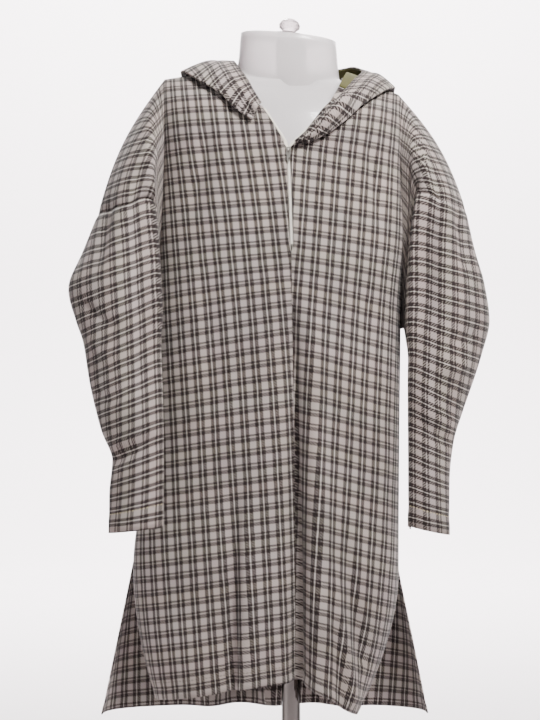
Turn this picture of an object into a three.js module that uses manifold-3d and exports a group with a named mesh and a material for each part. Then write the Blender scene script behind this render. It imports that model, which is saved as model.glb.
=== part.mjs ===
// A hooded check-tweed pheran with a half zip, resting on a limbless plastic dress form on a pole stand.
// Millimetres, +Z up, the front of the garment towards -Y, its own right sleeve towards -X.
// The origin is the middle of the stand's underside.
import * as THREE from "three";
import { mergeVertices } from "three/addons/utils/BufferGeometryUtils.js";
import Module from "manifold-3d";

// ---- Driving dimensions ----
const CLOTH = 2; // wall of the tweed
const LINING_CLOTH = 1.2;
const TAPE = 0.8; // zip tape
const SEAM_GAP = 0.3; // between the walls of two pieces at a seam
const CORNER_GAP = 1.2; // how far a piece's corner is drawn back where three pieces meet
// The drawing back of an edge at a seam, in SEAM_GAPs: on flat cloth, and added for the sharpness of its fold
const SEAM_FOLD = { flat: 0.9, rate: 8, most: 4.6 };
const LAYER_GAP = 0.4; // between two pieces that lie on each other

// Shoulder line: level over the neck, then falling; the whole yoke leans a little to one side
const SHOULDER = { middleX: -14, topZ: 1268, lean: 0.063 };
const SHOULDER_ENDS = {
  left: { neckX: -90, tipX: -189, fall: 0.21 },
  right: { neckX: 82, tipX: 160, fall: 0.27 },
};
const ARCH_ROW = 5; // row where the shoulder arch ends and the cloth hangs
const UNDERARM_ROW = 10;
const SLIT_ROW = 18; // top of the side slits
const HEM_ROW = 24;
const HALF_COLUMNS = 14; // from the centre line to a side
const NECK_COLUMN = 5; // columns that end at the neckline

// The side line of front and back at a few rows, the same for both down to the slits
const SIDES = [
  { row: 5, left: -187, right: 160, leftZ: 1157, rightZ: 1136 },
  { row: 7.5, left: -191, right: 164, leftZ: 1035, rightZ: 1020 },
  { row: 10, left: -211, right: 163, leftZ: 894, rightZ: 885 },
  { row: 14, left: -213, right: 161, leftZ: 722, rightZ: 712 },
  { row: 18, left: -235, right: 160, leftZ: 540, rightZ: 527 },
  { row: 21, left: -237, right: 160, leftZ: 437, rightZ: 422 },
  { row: 24, left: -239, right: 160, leftZ: 336, rightZ: 314 },
];

// Each panel: its height at the centre, how far it stands out there (depth) and at its side edge (edge),
// and how far its section rounds into the side (1 is a half ellipse)
const FRONT = {
  face: -1,
  neckAngle: 60, // how far down the shoulder arch the neckline dips, in degrees
  neckPower: 1.8, // the higher, the squarer the neckline
  flare: { left: 38, right: -62, power: 1.9, leftZ: 0, rightZ: 0 },
  rows: [
    { row: 5, centreX: -5, centreZ: 1146, depth: 108, edge: 42, round: 0.5 },
    { row: 7.5, centreX: -1, centreZ: 1030, depth: 112, edge: 45, round: 0.5 },
    { row: 10, centreX: 1, centreZ: 912, depth: 112, edge: 0, round: 0.95 },
    { row: 14, centreX: 4, centreZ: 742, depth: 112, edge: 0, round: 1 },
    { row: 18, centreX: 6, centreZ: 566, depth: 114, edge: 0, round: 1 },
    { row: 21, centreX: 7, centreZ: 470, depth: 114, edge: 5, round: 1 },
    { row: 24, centreX: 8, centreZ: 372, depth: 112, edge: 9, round: 1 },
  ],
};
const BACK = {
  face: 1,
  neckAngle: 33,
  neckPower: 3.5,
  flare: { left: -45, right: 45, power: 1, leftZ: -31, rightZ: -7 },
  rows: [
    { row: 5, centreX: -10, centreZ: 1152, depth: 102, edge: 46, round: 0.5 },
    { row: 7.5, centreX: -12, centreZ: 1034, depth: 104, edge: 42, round: 0.5 },
    { row: 10, centreX: -16, centreZ: 908, depth: 102, edge: 0, round: 0.95 },
    { row: 14, centreX: -22, centreZ: 734, depth: 98, edge: 0, round: 1 },
    { row: 18, centreX: -28, centreZ: 552, depth: 100, edge: 0, round: 1 },
    { row: 21, centreX: -32, centreZ: 440, depth: 104, edge: 6, round: 1 },
    { row: 24, centreX: -36, centreZ: 304, depth: 108, edge: 10, round: 1 },
  ],
};

// Long folds of the hanging cloth: where each runs at its top and at the hem, how far it stands out (or in,
// when negative) at the hem, and half its width
const FRONT_FOLDS = [
  { topX: 2, hemX: 9, topZ: 1000, out: -24, width: 15 },
  { topX: 30, hemX: 40, topZ: 960, out: 13, width: 20 },
  { topX: -74, hemX: -84, topZ: 700, out: -10, width: 14 },
  { topX: -56, hemX: -62, topZ: 700, out: 7, width: 16 },
  { topX: 62, hemX: 84, topZ: 560, out: 9, width: 13 },
  { topX: -150, hemX: -140, topZ: 560, out: 6, width: 24 },
];
const BACK_FOLDS = [
  { topX: -10, hemX: -24, topZ: 1000, out: -16, width: 24 },
  { topX: 60, hemX: 84, topZ: 820, out: -20, width: 26 },
  { topX: -90, hemX: -124, topZ: 860, out: -18, width: 24 },
  { topX: -40, hemX: -74, topZ: 700, out: 9, width: 26 },
  { topX: 26, hemX: 34, topZ: 700, out: 9, width: 24 },
];

// The front zip: the V that it opens, its slider and the end of the chain
const ZIP = {
  leftX: -43,
  rightX: 53,
  leftZ: 1208,
  rightZ: 1201,
  sliderX: -5,
  sliderZ: 1146,
  endX: 0,
  endZ: 1002,
};
const ZIP_SLOT = 5.2; // width of the slit that the closed chain shows in
const CHAIN = { width: 4.2, thickness: 1.5, sink: 0.3, rows: 8 };
const STOP = { width: 4.6, thickness: 1.5, height: 3 };
const TAPE_BAND = { showing: 3, width: 14, below: 8, rows: 16, columns: 3 };
const TAPE_GAP = 0.4;
const SLIDER = { width: 7.4, height: 11, thickness: 2, below: 5, stem: 3.4 };
const TAB = { width: 5, length: 17, thickness: 1, bar: 0.7, eyeWidth: 3, eyeEnd: 4.4 };
const BRIDGE = { inner: 1.5, outer: 2.7, width: 2, standoff: 1.1, up: 1 };

// Sleeves from the drop-shoulder seam to the cuff. out is the fold over the arm, in is the ridge at the front
// inner side, under is the underarm side; mid is the middle of the tube in depth, half its half depth
const SLEEVE_LEFT = [
  { outX: -288, outZ: 1055, inX: -208, inZ: 1073, underX: -220, underZ: 897, mid: -12, half: 70 },
  { outX: -310, outZ: 999, inX: -203, inZ: 1032, underX: -223, underZ: 879, mid: -20, half: 70 },
  { outX: -330, outZ: 945, inX: -198, inZ: 984, underX: -224, underZ: 860, mid: -32, half: 66 },
  { outX: -318, outZ: 898, inX: -196, inZ: 943, underX: -224, underZ: 840, mid: -44, half: 60 },
  { outX: -306, outZ: 865, inX: -194, inZ: 910, underX: -223, underZ: 820, mid: -54, half: 56 },
  { outX: -295, outZ: 806, inX: -191, inZ: 849, underX: -220, underZ: 784, mid: -70, half: 50 },
  { outX: -276, outZ: 737, inX: -187, inZ: 767, underX: -212, underZ: 722, mid: -94, half: 42 },
  { outX: -259, outZ: 692, inX: -186, inZ: 719, underX: -208, underZ: 690, mid: -104, half: 37 },
  { outX: -263, outZ: 643, inX: -186, inZ: 666, underX: -204, underZ: 644, mid: -110, half: 35 },
  { outX: -263, outZ: 589, inX: -187, inZ: 599, underX: -202, underZ: 582, mid: -114, half: 33 },
];
const SLEEVE_RIGHT = [
  { outX: 260, outZ: 1061, inX: 187, inZ: 1081, underX: 174, underZ: 888, mid: -12, half: 70 },
  { outX: 273, outZ: 1003, inX: 180, inZ: 1022, underX: 177, underZ: 872, mid: -14, half: 68 },
  { outX: 288, outZ: 950, inX: 178, inZ: 975, underX: 179, underZ: 853, mid: -16, half: 66 },
  { outX: 295, outZ: 898, inX: 177, inZ: 927, underX: 180, underZ: 832, mid: -18, half: 62 },
  { outX: 284, outZ: 850, inX: 176, inZ: 883, underX: 180, underZ: 806, mid: -20, half: 58 },
  { outX: 272, outZ: 812, inX: 175, inZ: 846, underX: 180, underZ: 782, mid: -22, half: 54 },
  { outX: 255, outZ: 764, inX: 174, inZ: 802, underX: 179, underZ: 752, mid: -25, half: 48 },
  { outX: 240, outZ: 715, inX: 174, inZ: 743, underX: 178, underZ: 710, mid: -30, half: 40 },
  { outX: 234, outZ: 660, inX: 174, inZ: 684, underX: 178, underZ: 660, mid: -35, half: 36 },
  { outX: 233, outZ: 580, inX: 174, inZ: 594, underX: 177, underZ: 576, mid: -40, half: 32 },
];
const SEAM_RINGS = 4; // rings from the shoulder plane out to the drop-shoulder seam
const SLEEVE_RINGS = 14;
const EXTENSION_BULGE = { out: 12, up: 6, forward: 12 };

// The fallen hood, from the zip round to the middle of the back. On each station the seam and the outer fold lie
// on the panels (x, and a from -1 at the chest over 0 on the shoulder line to 1 at the shoulder blades), and the
// rim stands free
const HOOD_LEFT = [
  { seamX: -47, seamA: -0.66, foldX: -56, foldA: -0.79, rimX: -44, rimY: -105, rimZ: 1211 },
  { seamX: -58, seamA: -0.5, foldX: -77, foldA: -0.72, rimX: -56, rimY: -90, rimZ: 1232 },
  { seamX: -73, seamA: -0.3, foldX: -104, foldA: -0.56, rimX: -70, rimY: -66, rimZ: 1257 },
  { seamX: -88, seamA: -0.06, foldX: -136, foldA: -0.36, rimX: -85, rimY: -16, rimZ: 1284 },
  { seamX: -90, seamA: 0.08, foldX: -160, foldA: 0.05, rimX: -89, rimY: 28, rimZ: 1289 },
  { seamX: -70, seamA: 0.29, foldX: -150, foldA: 0.6, rimX: -72, rimY: 70, rimZ: 1287 },
  { seamX: -42, seamA: 0.37, foldX: -96, foldA: 1.05, rimX: -44, rimY: 92, rimZ: 1283 },
  { seamX: -10.5, seamA: 0.39, foldX: -10.5, foldA: 1.25, rimX: -10.5, rimY: 98, rimZ: 1281 },
];
const HOOD_RIGHT = [
  { seamX: 6, seamA: -0.97, foldX: 14, foldA: -0.97, rimX: 4, rimY: -118, rimZ: 1154 },
  { seamX: 28, seamA: -0.82, foldX: 47, foldA: -0.88, rimX: 25, rimY: -117, rimZ: 1173 },
  { seamX: 54, seamA: -0.64, foldX: 79, foldA: -0.74, rimX: 53, rimY: -108, rimZ: 1203 },
  { seamX: 70, seamA: -0.42, foldX: 108, foldA: -0.55, rimX: 70, rimY: -96, rimZ: 1222 },
  { seamX: 79, seamA: -0.2, foldX: 132, foldA: -0.32, rimX: 88, rimY: -68, rimZ: 1246 },
  { seamX: 84, seamA: 0.04, foldX: 150, foldA: 0.02, rimX: 105, rimY: -20, rimZ: 1269 },
  { seamX: 76, seamA: 0.25, foldX: 140, foldA: 0.55, rimX: 88, rimY: 55, rimZ: 1285 },
  { seamX: 44, seamA: 0.37, foldX: 86, foldA: 1.02, rimX: 48, rimY: 88, rimZ: 1284 },
  { seamX: -9.5, seamA: 0.39, foldX: -9.5, foldA: 1.25, rimX: -9.5, rimY: 98, rimZ: 1281 },
];
// The lining starts at these columns of the hood and lies on the inner side of these of its rows: over the under
// layer, then up the upper layer; its ends are drawn in by a share of a row
const HOOD_LINING = { left: 6, right: 5, rows: [0, 1, 2, 3, 4, 5, 6, 13, 14, 15, 16], inset: 0.08 };
const HOOD = { turn: 2.6, lift: 5.2, puff: 7, columns: 14, rows: 16 };

// The dress form, level by level before the yoke's lean: its middle, half width and depth in front and behind;
// top is 1 where the form's surface is a shoulder that the cloth lies on
const FORM = [
  { z: 640, x: -6, half: 128, front: 86, back: 82, top: 0 },
  { z: 760, x: -6, half: 138, front: 90, back: 86, top: 0 },
  { z: 900, x: -6, half: 120, front: 80, back: 74, top: 0 },
  { z: 1040, x: -8, half: 146, front: 94, back: 82, top: 0 },
  { z: 1130, x: -12, half: 160, front: 90, back: 80, top: 0 },
  { z: 1190, x: -13, half: 167, front: 78, back: 72, top: 0 },
  { z: 1225, x: -13, half: 168, front: 64, back: 62, top: 0 },
  { z: 1238, x: -13, half: 166, front: 56, back: 56, top: 1 },
  { z: 1245, x: -12.5, half: 162, front: 52, back: 52, top: 1 },
  { z: 1250.5, x: -12, half: 152, front: 49, back: 49, top: 1 },
  { z: 1256, x: -9.5, half: 129, front: 46, back: 46, top: 1 },
  { z: 1261, x: -6, half: 104, front: 45, back: 45, top: 1 },
  { z: 1264, x: -4, half: 80, front: 47, back: 42, top: 1 },
  { z: 1276, x: -4, half: 75.5, front: 50, back: 46, top: 0 },
  { z: 1322, x: -4, half: 71.5, front: 52, back: 48, top: 0 },
];
const FORM_WALL = 3;
const FORM_SIDES = 32;
const FORM_CLEARANCE = 0.5; // between the shoulders of the form and the cloth
const NECK = { leanTop: 0.1, leanFrom: 1150, leanEnd: 900, hole: 15.5, middleX: -4, topZ: 1322 };
const CAP = { radius: 33, thickness: 5, stem: 12, stemLength: 7 };
const KNOB = { radius: 16, height: 24 };
const SOCKET = { outer: 23, inner: 14.5, bottomZ: 1257, topZ: 1314 };
const POLE = { radius: 14, bottomZ: 10.4, topZ: 1300 };
const BASE = { radius: 165, rim: 4, height: 10, hubRadius: 23, hubTop: 42, bore: 14.4 };

const STEEL = { roughness: 0.3, metalness: 0.9 };
const COLOURS = {
  tweed: 0x7d7470,
  olive: 0x5f5c37,
  cream: 0xe6e0cf,
  plastic: 0xdfe4ea,
  clear: 0xf4f6f8,
  metal: 0xb9bcc0,
};

// ---- Small helpers ----
const wasm = await Module();
wasm.setup();

const lerp = THREE.MathUtils.lerp;
const radians = THREE.MathUtils.degToRad;
const point = (x, y, z) => new THREE.Vector3(x, y, z);

// The value of a table's column at a key, on a smooth curve through the rows.
function column(table, key, name, at) {
  const last = table.length - 1;
  let i = table.findIndex((row) => row[key] > at) - 1;
  if (i === -2) i = last - 1; // past the last row
  i = Math.max(0, i);
  const rise = (j) => (table[j + 1][name] - table[j][name]) / (table[j + 1][key] - table[j][key]);
  const slope = (j) => {
    if (j === 0 || j === last) return rise(j === 0 ? 0 : last - 1);
    const [before, after] = [rise(j - 1), rise(j)];
    return before * after > 0 ? (2 * before * after) / (before + after) : 0; // never swings past a row
  };
  const [from, to] = [table[i], table[i + 1]];
  const span = to[key] - from[key];
  const t = THREE.MathUtils.clamp((at - from[key]) / span, 0, 1);
  const [t2, t3] = [t * t, t * t * t];
  return (
    (2 * t3 - 3 * t2 + 1) * from[name] +
    (t3 - 2 * t2 + t) * span * slope(i) +
    (3 * t2 - 2 * t3) * to[name] +
    (t3 - t2) * span * slope(i + 1)
  );
}

// A point on a smooth curve through the control points; t counts control points.
function onCurve(points, t, closed = false) {
  const n = points.length;
  const whole = Math.floor(t);
  const f = t - whole;
  const pick = (i) => (closed ? points[((i % n) + n) % n] : points[THREE.MathUtils.clamp(i, 0, n - 1)]);
  const [a, b, c, d] = [-1, 0, 1, 2].map((step) => pick(whole + step));
  const weights = [
    (-f + 2 * f * f - f * f * f) / 2,
    (2 - 5 * f * f + 3 * f * f * f) / 2,
    (f + 4 * f * f - 3 * f * f * f) / 2,
    (f * f * f - f * f) / 2,
  ];
  return [a, b, c, d].reduce((sum, p, i) => sum.addScaledVector(p, weights[i]), point(0, 0, 0));
}

function geometryOf(vertices, triangles) {
  const geometry = new THREE.BufferGeometry();
  const numbers = vertices.flatMap((v) => [v.x, v.y, v.z]);
  geometry.setAttribute("position", new THREE.Float32BufferAttribute(numbers, 3));
  geometry.setIndex(triangles);
  return geometry;
}

// ---- Cloth: welded surfaces that several pieces share, thickened into walls piece by piece ----
class Cloth {
  constructor() {
    this.points = [];
    this.known = new Map();
    this.faces = [];
    this.grids = {};
  }

  vertex(p) {
    const key = [p.x, p.y, p.z].map((v) => Math.round(v * 1000)).join(",");
    if (!this.known.has(key)) {
      this.known.set(key, this.points.length);
      this.points.push(p);
    }
    return this.known.get(key);
  }

  // A grid of points as faces of one piece; flip turns its outer side round.
  patch(piece, rows, columns, at, flip = false) {
    const ids = [];
    for (let i = 0; i <= rows; i++) {
      ids.push([]);
      for (let j = 0; j <= columns; j++) ids[i].push(this.vertex(at(i, j)));
    }
    for (let i = 0; i < rows; i++) {
      for (let j = 0; j < columns; j++) {
        const [a, b, c, d] = [ids[i][j], ids[i + 1][j], ids[i + 1][j + 1], ids[i][j + 1]];
        for (const face of [[a, b, c], [a, c, d]]) {
          const turned = flip ? [face[0], face[2], face[1]] : face;
          if (new Set(face).size === 3) this.faces.push({ piece, face: turned });
        }
      }
    }
    this.grids[piece] = ids;
  }

  // Each point's outward direction, from all the faces around it, of every piece.
  normals() {
    const sums = this.points.map(() => point(0, 0, 0));
    for (const { face } of this.faces) {
      const [a, b, c] = face.map((id) => this.points[id]);
      const normal = point(0, 0, 0).crossVectors(b.clone().sub(a), c.clone().sub(a));
      for (const id of face) sums[id].add(normal);
    }
    return sums.map((sum) => sum.normalize());
  }

  // How sharply the cloth folds at a point between one piece and the next: 0 is flat.
  foldAt(id, piece) {
    const sums = [point(0, 0, 0), point(0, 0, 0)];
    for (const entry of this.facesAt.get(id)) {
      const [a, b, c] = entry.face.map((corner) => this.points[corner]);
      const normal = point(0, 0, 0).crossVectors(b.clone().sub(a), c.clone().sub(a));
      sums[entry.piece === piece ? 0 : 1].add(normal.normalize());
    }
    return 1 - sums[0].normalize().dot(sums[1].normalize());
  }

  // One piece as a closed wall, drawn back a little where it meets its neighbours.
  wall(piece, thickness) {
    const normals = this.normals();
    this.facesAt = new Map(this.points.map((_, id) => [id, []]));
    for (const entry of this.faces) entry.face.forEach((id) => this.facesAt.get(id).push(entry));
    const own = this.faces.filter((entry) => entry.piece === piece).map((entry) => entry.face);
    const others = this.faces.filter((entry) => entry.piece !== piece);
    const shared = new Set(others.flatMap((entry) => entry.face));
    const edges = new Map();
    for (const face of own) {
      face.forEach((a, i) => edges.set(a + "," + face[(i + 1) % 3], [a, face[(i + 1) % 3]]));
    }
    const rim = [...edges.values()].filter(([a, b]) => !edges.has(b + "," + a));
    const onRim = new Set(rim.flat());
    const along = new Map(); // the direction of the edge at its points
    for (const [a, b] of rim) {
      const way = this.points[b].clone().sub(this.points[a]).normalize();
      for (const id of [a, b]) along.set(id, (along.get(id) ?? point(0, 0, 0)).add(way));
    }
    const inward = new Map();
    for (const face of own) {
      for (const id of face) {
        if (!onRim.has(id) || !shared.has(id)) continue;
        const sum = inward.get(id) ?? point(0, 0, 0);
        for (const other of face) sum.add(this.points[other]).sub(this.points[id]);
        inward.set(id, sum);
      }
    }
    const ids = [...new Set(own.flat())];
    const place = new Map(ids.map((id, i) => [id, i]));
    const middle = ids.map((id) => {
      const p = this.points[id].clone();
      if (!inward.has(id)) return p;
      const lean = along.get(id).dot(normals[id]);
      const edge = along.get(id).addScaledVector(normals[id], -lean).normalize();
      const way = inward.get(id).addScaledVector(normals[id], -inward.get(id).dot(normals[id]));
      const pieces = new Set(this.facesAt.get(id).map((entry) => entry.piece)).size;
      if (pieces > 2) return p.addScaledVector(way.normalize(), CORNER_GAP);
      way.addScaledVector(edge, -way.dot(edge));
      const sharp = Math.min(SEAM_FOLD.most, SEAM_FOLD.rate * this.foldAt(id, piece));
      return p.addScaledVector(way.normalize(), SEAM_GAP * (SEAM_FOLD.flat + sharp));
    });
    const shifted = (sign) =>
      middle.map((p, i) => p.clone().addScaledVector(normals[ids[i]], (sign * thickness) / 2));
    const n = ids.length;
    const triangles = [];
    for (const face of own) {
      const [a, b, c] = face.map((id) => place.get(id));
      triangles.push(a, b, c, a + n, c + n, b + n);
    }
    for (const [from, to] of rim) {
      const [a, b] = [place.get(from), place.get(to)];
      triangles.push(b, a, a + n, b, a + n, b + n);
    }
    return geometryOf([...shifted(1), ...shifted(-1)], triangles);
  }
}

// ---- The body of the garment ----
const sideName = (side) => (side < 0 ? "left" : "right");

function shoulderZ(x) {
  const { left, right } = SHOULDER_ENDS;
  const drop = left.fall * Math.max(0, left.neckX - x) + right.fall * Math.max(0, x - right.neckX);
  return SHOULDER.topZ - SHOULDER.lean * (x - SHOULDER.middleX) - drop;
}

// A panel's edge of the V that the open zip makes, or its centre line.
function innerX(panel, side, row, z) {
  if (panel === BACK || row >= ARCH_ROW) {
    return column(panel.rows, "row", "centreX", Math.max(row, ARCH_ROW));
  }
  const top = side < 0 ? { x: ZIP.leftX, z: ZIP.leftZ } : { x: ZIP.rightX, z: ZIP.rightZ };
  const t = THREE.MathUtils.clamp((z - ZIP.sliderZ) / (top.z - ZIP.sliderZ), 0, 1);
  return lerp(ZIP.sliderX, top.x, t);
}

function foldShift(folds, x, z) {
  return folds.reduce((sum, fold) => {
    const t = THREE.MathUtils.clamp((fold.topZ - z) / (fold.topZ - 320), 0, 1.05);
    const away = (x - lerp(fold.topX, fold.hemX, t)) / fold.width;
    return sum + fold.out * t ** 0.8 * Math.exp(-away * away);
  }, 0);
}

// How far a section stands out at u, from 0 on the centre line to 1 at the side.
function standOut(panel, u, row) {
  const edge = column(panel.rows, "row", "edge", row);
  const depth = column(panel.rows, "row", "depth", row);
  return edge + (depth - edge) * Math.max(0, Math.cos((u * Math.PI) / 2)) ** 0.75;
}

function spread(panel, u, row) {
  const round = column(panel.rows, "row", "round", row);
  return lerp(u, Math.sin((u * Math.PI) / 2), round);
}

function hangingZ(panel, side, u, row) {
  const centreZ = column(panel.rows, "row", "centreZ", row);
  const slit = Math.max(0, (row - SLIT_ROW) / (HEM_ROW - SLIT_ROW));
  const name = sideName(side) + "Z";
  const sideZ = column(SIDES, "row", name, row) + panel.flare[name] * slit;
  return lerp(centreZ, sideZ, Math.abs(spread(panel, u, row)) ** 1.2);
}

// Below the shoulder arch.
function hangingPoint(panel, side, u, row) {
  const name = sideName(side);
  const slit = Math.max(0, (row - SLIT_ROW) / (HEM_ROW - SLIT_ROW));
  const z = hangingZ(panel, side, u, row);
  const edgeX = column(SIDES, "row", name, row) + panel.flare[name] * slit ** panel.flare.power;
  const x = lerp(innerX(panel, side, row, z), edgeX, spread(panel, u, row));
  const folds = panel === FRONT ? FRONT_FOLDS : BACK_FOLDS;
  const fade = 1 - u ** 6;
  return point(x, panel.face * (standOut(panel, u, row) + foldShift(folds, x, z) * fade), z);
}

// On the shoulder arch, at an angle from the shoulder line (0) down to the chest (90 degrees).
function archPoint(panel, side, u, angle) {
  const name = sideName(side);
  const [sin, cos] = [Math.sin(radians(angle)), Math.cos(radians(angle))];
  const topInner = panel === BACK ? BACK.rows[0].centreX : ZIP[name + "X"];
  const split = NECK_COLUMN / HALF_COLUMNS;
  const { neckX, tipX } = SHOULDER_ENDS[name];
  const lineX = (inner) =>
    u < split ? lerp(inner, neckX, u / split) : lerp(neckX, tipX, (u - split) / (1 - split));
  const ridgeZ = shoulderZ(lineX(topInner));
  const z = ridgeZ - (ridgeZ - hangingZ(panel, side, u, ARCH_ROW)) * (1 - cos);
  const inner = innerX(panel, side, 0, z);
  const chestX = lerp(inner, column(SIDES, "row", name, ARCH_ROW), spread(panel, u, ARCH_ROW));
  const out = standOut(panel, u, ARCH_ROW) * sin;
  return point(lerp(lineX(inner), chestX, sin * sin), panel.face * out, z);
}

function neckAngle(panel, u) {
  const split = NECK_COLUMN / HALF_COLUMNS;
  return u < split ? panel.neckAngle * (1 - (u / split) ** panel.neckPower) : 0;
}

function panelPoint(panel, side, u, row) {
  if (row >= ARCH_ROW) return hangingPoint(panel, side, u, row);
  return archPoint(panel, side, u, lerp(neckAngle(panel, u), 90, row / ARCH_ROW));
}

// ---- Sleeves and the extensions that carry them ----
const sleeveTable = (side) =>
  (side < 0 ? SLEEVE_LEFT : SLEEVE_RIGHT).map((row, i) => ({
    ring: i / (SLEEVE_LEFT.length - 1),
    ...row,
  }));

// A point round a sleeve ring: turn 0 over the arm, 6 at the underarm, by way of the front or the back.
function sleevePoint(side, ring, turn, face) {
  const table = sleeveTable(side);
  const at = (name) => column(table, "ring", name, ring);
  const [mid, half] = [at("mid"), at("half")];
  const out = point(at("outX"), mid, at("outZ"));
  const ridge = point(at("inX"), mid, at("inZ"));
  const under = point(at("underX"), mid + 0.5 * half * (side < 0 ? 0.6 : 0.1), at("underZ"));
  const backRidge = point(under.x, mid, ridge.z);
  const halfRing = (toward, inner) => [
    out.clone().lerp(inner, 0.2).add(point(0, toward * half * 0.62, 0)),
    out.clone().lerp(inner, 0.6).add(point(0, toward * half, 0)),
    inner.clone().add(point(0, toward * half * 0.72, 0)),
    inner.clone().lerp(under, 0.34).add(point(0, toward * half * 0.42, 0)),
    inner.clone().lerp(under, 0.7).add(point(0, toward * half * 0.2, 0)),
  ];
  const ringPoints = [out, ...halfRing(-1, ridge), under, ...halfRing(1, backRidge).reverse()];
  return onCurve(ringPoints, face < 0 ? turn : (12 - turn) % 12, true);
}

// Rings between the shoulder plane (w = 0) and the drop-shoulder seam (w = 1).
function extensionPoint(panel, side, w, row) {
  const body = panelPoint(panel, side, 1, row);
  const seam = sleevePoint(side, 0, (row * 6) / UNDERARM_ROW, panel.face);
  if (w === 0) return body;
  if (w === 1) return seam;
  const bow = Math.sin(Math.PI * w);
  const high = Math.max(0, 1 - row / ARCH_ROW);
  const ridge = Math.sin((Math.PI * row) / UNDERARM_ROW);
  return body.lerp(seam, w).add(
    point(
      side * EXTENSION_BULGE.out * bow * high,
      panel.face * EXTENSION_BULGE.forward * bow * ridge,
      EXTENSION_BULGE.up * bow * high,
    ),
  );
}

function makeGarment() {
  const cloth = new Cloth();
  for (const [name, panel] of [["front_panel", FRONT], ["back_panel", BACK]]) {
    for (const side of [-1, 1]) {
      const flip = side * panel.face < 0;
      const onPanel = (i, j) => panelPoint(panel, side, j / HALF_COLUMNS, i);
      cloth.patch(name, HEM_ROW, HALF_COLUMNS, onPanel, flip);
      const onExtension = (i, j) => extensionPoint(panel, side, j / SEAM_RINGS, i);
      cloth.patch(name, UNDERARM_ROW, SEAM_RINGS, onExtension, flip);
    }
  }
  for (const side of [-1, 1]) {
    const around = (i, j) => {
      const face = j <= UNDERARM_ROW ? -1 : 1;
      const turn = (6 * (face < 0 ? j : 2 * UNDERARM_ROW - j)) / UNDERARM_ROW;
      return sleevePoint(side, i / SLEEVE_RINGS, turn, face);
    };
    cloth.patch("sleeve_" + sideName(side), SLEEVE_RINGS, 2 * UNDERARM_ROW, around, side < 0);
  }
  return cloth;
}

// ---- The hood ----
// A point on the panels at x and at a: -1 chest, 0 shoulder line, 1 shoulder blades, beyond 1 down the back.
function bodyAt(side, x, a) {
  const panel = a < 0 ? FRONT : BACK;
  const at = (u) =>
    Math.abs(a) <= 1
      ? archPoint(panel, side, u, 90 * Math.abs(a))
      : hangingPoint(panel, side, u, ARCH_ROW + (Math.abs(a) - 1) * (UNDERARM_ROW - ARCH_ROW));
  let [low, high] = [-0.2, 1];
  for (let i = 0; i < 24; i++) {
    const middle = (low + high) / 2;
    if ((at(middle).x - x) * side < 0) low = middle;
    else high = middle;
  }
  return at((low + high) / 2);
}

// The point and the outward direction there.
function bodyFrame(side, x, a) {
  const here = bodyAt(side, x, a);
  const step = 0.02;
  const along = bodyAt(side, x + side, a).sub(bodyAt(side, x - side, a));
  const down = bodyAt(side, x, a + step).sub(bodyAt(side, x, a - step));
  const out = point(0, 0, 0).crossVectors(along, down).multiplyScalar(side).normalize();
  return { here, out };
}

const hoodTable = (side) =>
  (side < 0 ? HOOD_LEFT : HOOD_RIGHT).map((row, i, all) => ({ along: i / (all.length - 1), ...row }));

// Where the hood's under layer lies on the panels: t is 0 at the neck seam, 1 at the outer fold.
function hoodBase(side, along, t) {
  const at = (name) => column(hoodTable(side), "along", name, along);
  return bodyFrame(side, lerp(at("seamX"), at("foldX"), t), lerp(at("seamA"), at("foldA"), t));
}

// The hood's section at a station: its under layer out to the fold, its upper layer back in to the rim.
function hoodSection(side, along) {
  const at = (name) => column(hoodTable(side), "along", name, along);
  const raised = (frame, height) => frame.here.clone().addScaledVector(frame.out, height);
  const under = [0, 0.25, 0.5, 0.75, 1].map((t) => hoodBase(side, along, t));
  const [seam, fold] = [under[0], under[4]];
  const rim = point(at("rimX"), at("rimY"), at("rimZ"));
  const away = fold.here.clone().sub(seam.here).normalize();
  const turn = raised(fold, HOOD.lift + HOOD.turn).addScaledVector(away, HOOD.turn);
  const upper = raised(fold, HOOD.lift + 2 * HOOD.turn);
  const crown = upper.clone().lerp(rim, 0.5).addScaledVector(under[2].out, HOOD.puff);
  return [...under.map((frame) => raised(frame, HOOD.lift)), turn, upper, crown, rim];
}

function makeHood() {
  const cloth = new Cloth();
  const { columns, rows } = HOOD;
  for (const side of [-1, 1]) {
    const sections = Array.from({ length: columns + 1 }, (_, j) => hoodSection(side, j / columns));
    const at = (i, j) => onCurve(sections[j], (i / rows) * (sections[j].length - 1));
    cloth.patch("hood_" + sideName(side), rows, columns, at, side > 0);
  }
  return cloth;
}

// The lining's points are the hood's, moved to its inner side.
function makeLining(hood) {
  const normals = hood.normals();
  const depth = CLOTH / 2 + LAYER_GAP + LINING_CLOTH / 2;
  const { left, right, rows, inset } = HOOD_LINING;
  const { columns } = HOOD;
  const inner = (i, side, column) => {
    const id = hood.grids["hood_" + sideName(side)][rows[i]][column];
    return hood.points[id].clone().addScaledVector(normals[id], -depth);
  };
  const last = rows.length - 1;
  const leftColumns = columns - left;
  const at = (i, j) => {
    const side = j <= leftColumns ? -1 : 1;
    const column = side < 0 ? left + j : columns - (j - leftColumns - 1);
    const here = inner(i, side, column);
    if (i > 0 && i < last) return here;
    return here.lerp(inner(i === 0 ? 1 : last - 1, side, column), inset);
  };
  const cloth = new Cloth();
  cloth.patch("hood_lining", last, leftColumns + 1 + columns - right, at);
  return cloth;
}

// ---- The zip ----
// A point of the front at x and z, and its outward direction; x may lie inside the open V.
function frontAt(side, x, z) {
  let [low, high] = [-2, 0];
  for (let i = 0; i < 20; i++) {
    const a = (low + high) / 2;
    if (bodyAt(side, x, a).z < z) low = a;
    else high = a;
  }
  return bodyAt(side, x, low);
}

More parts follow.
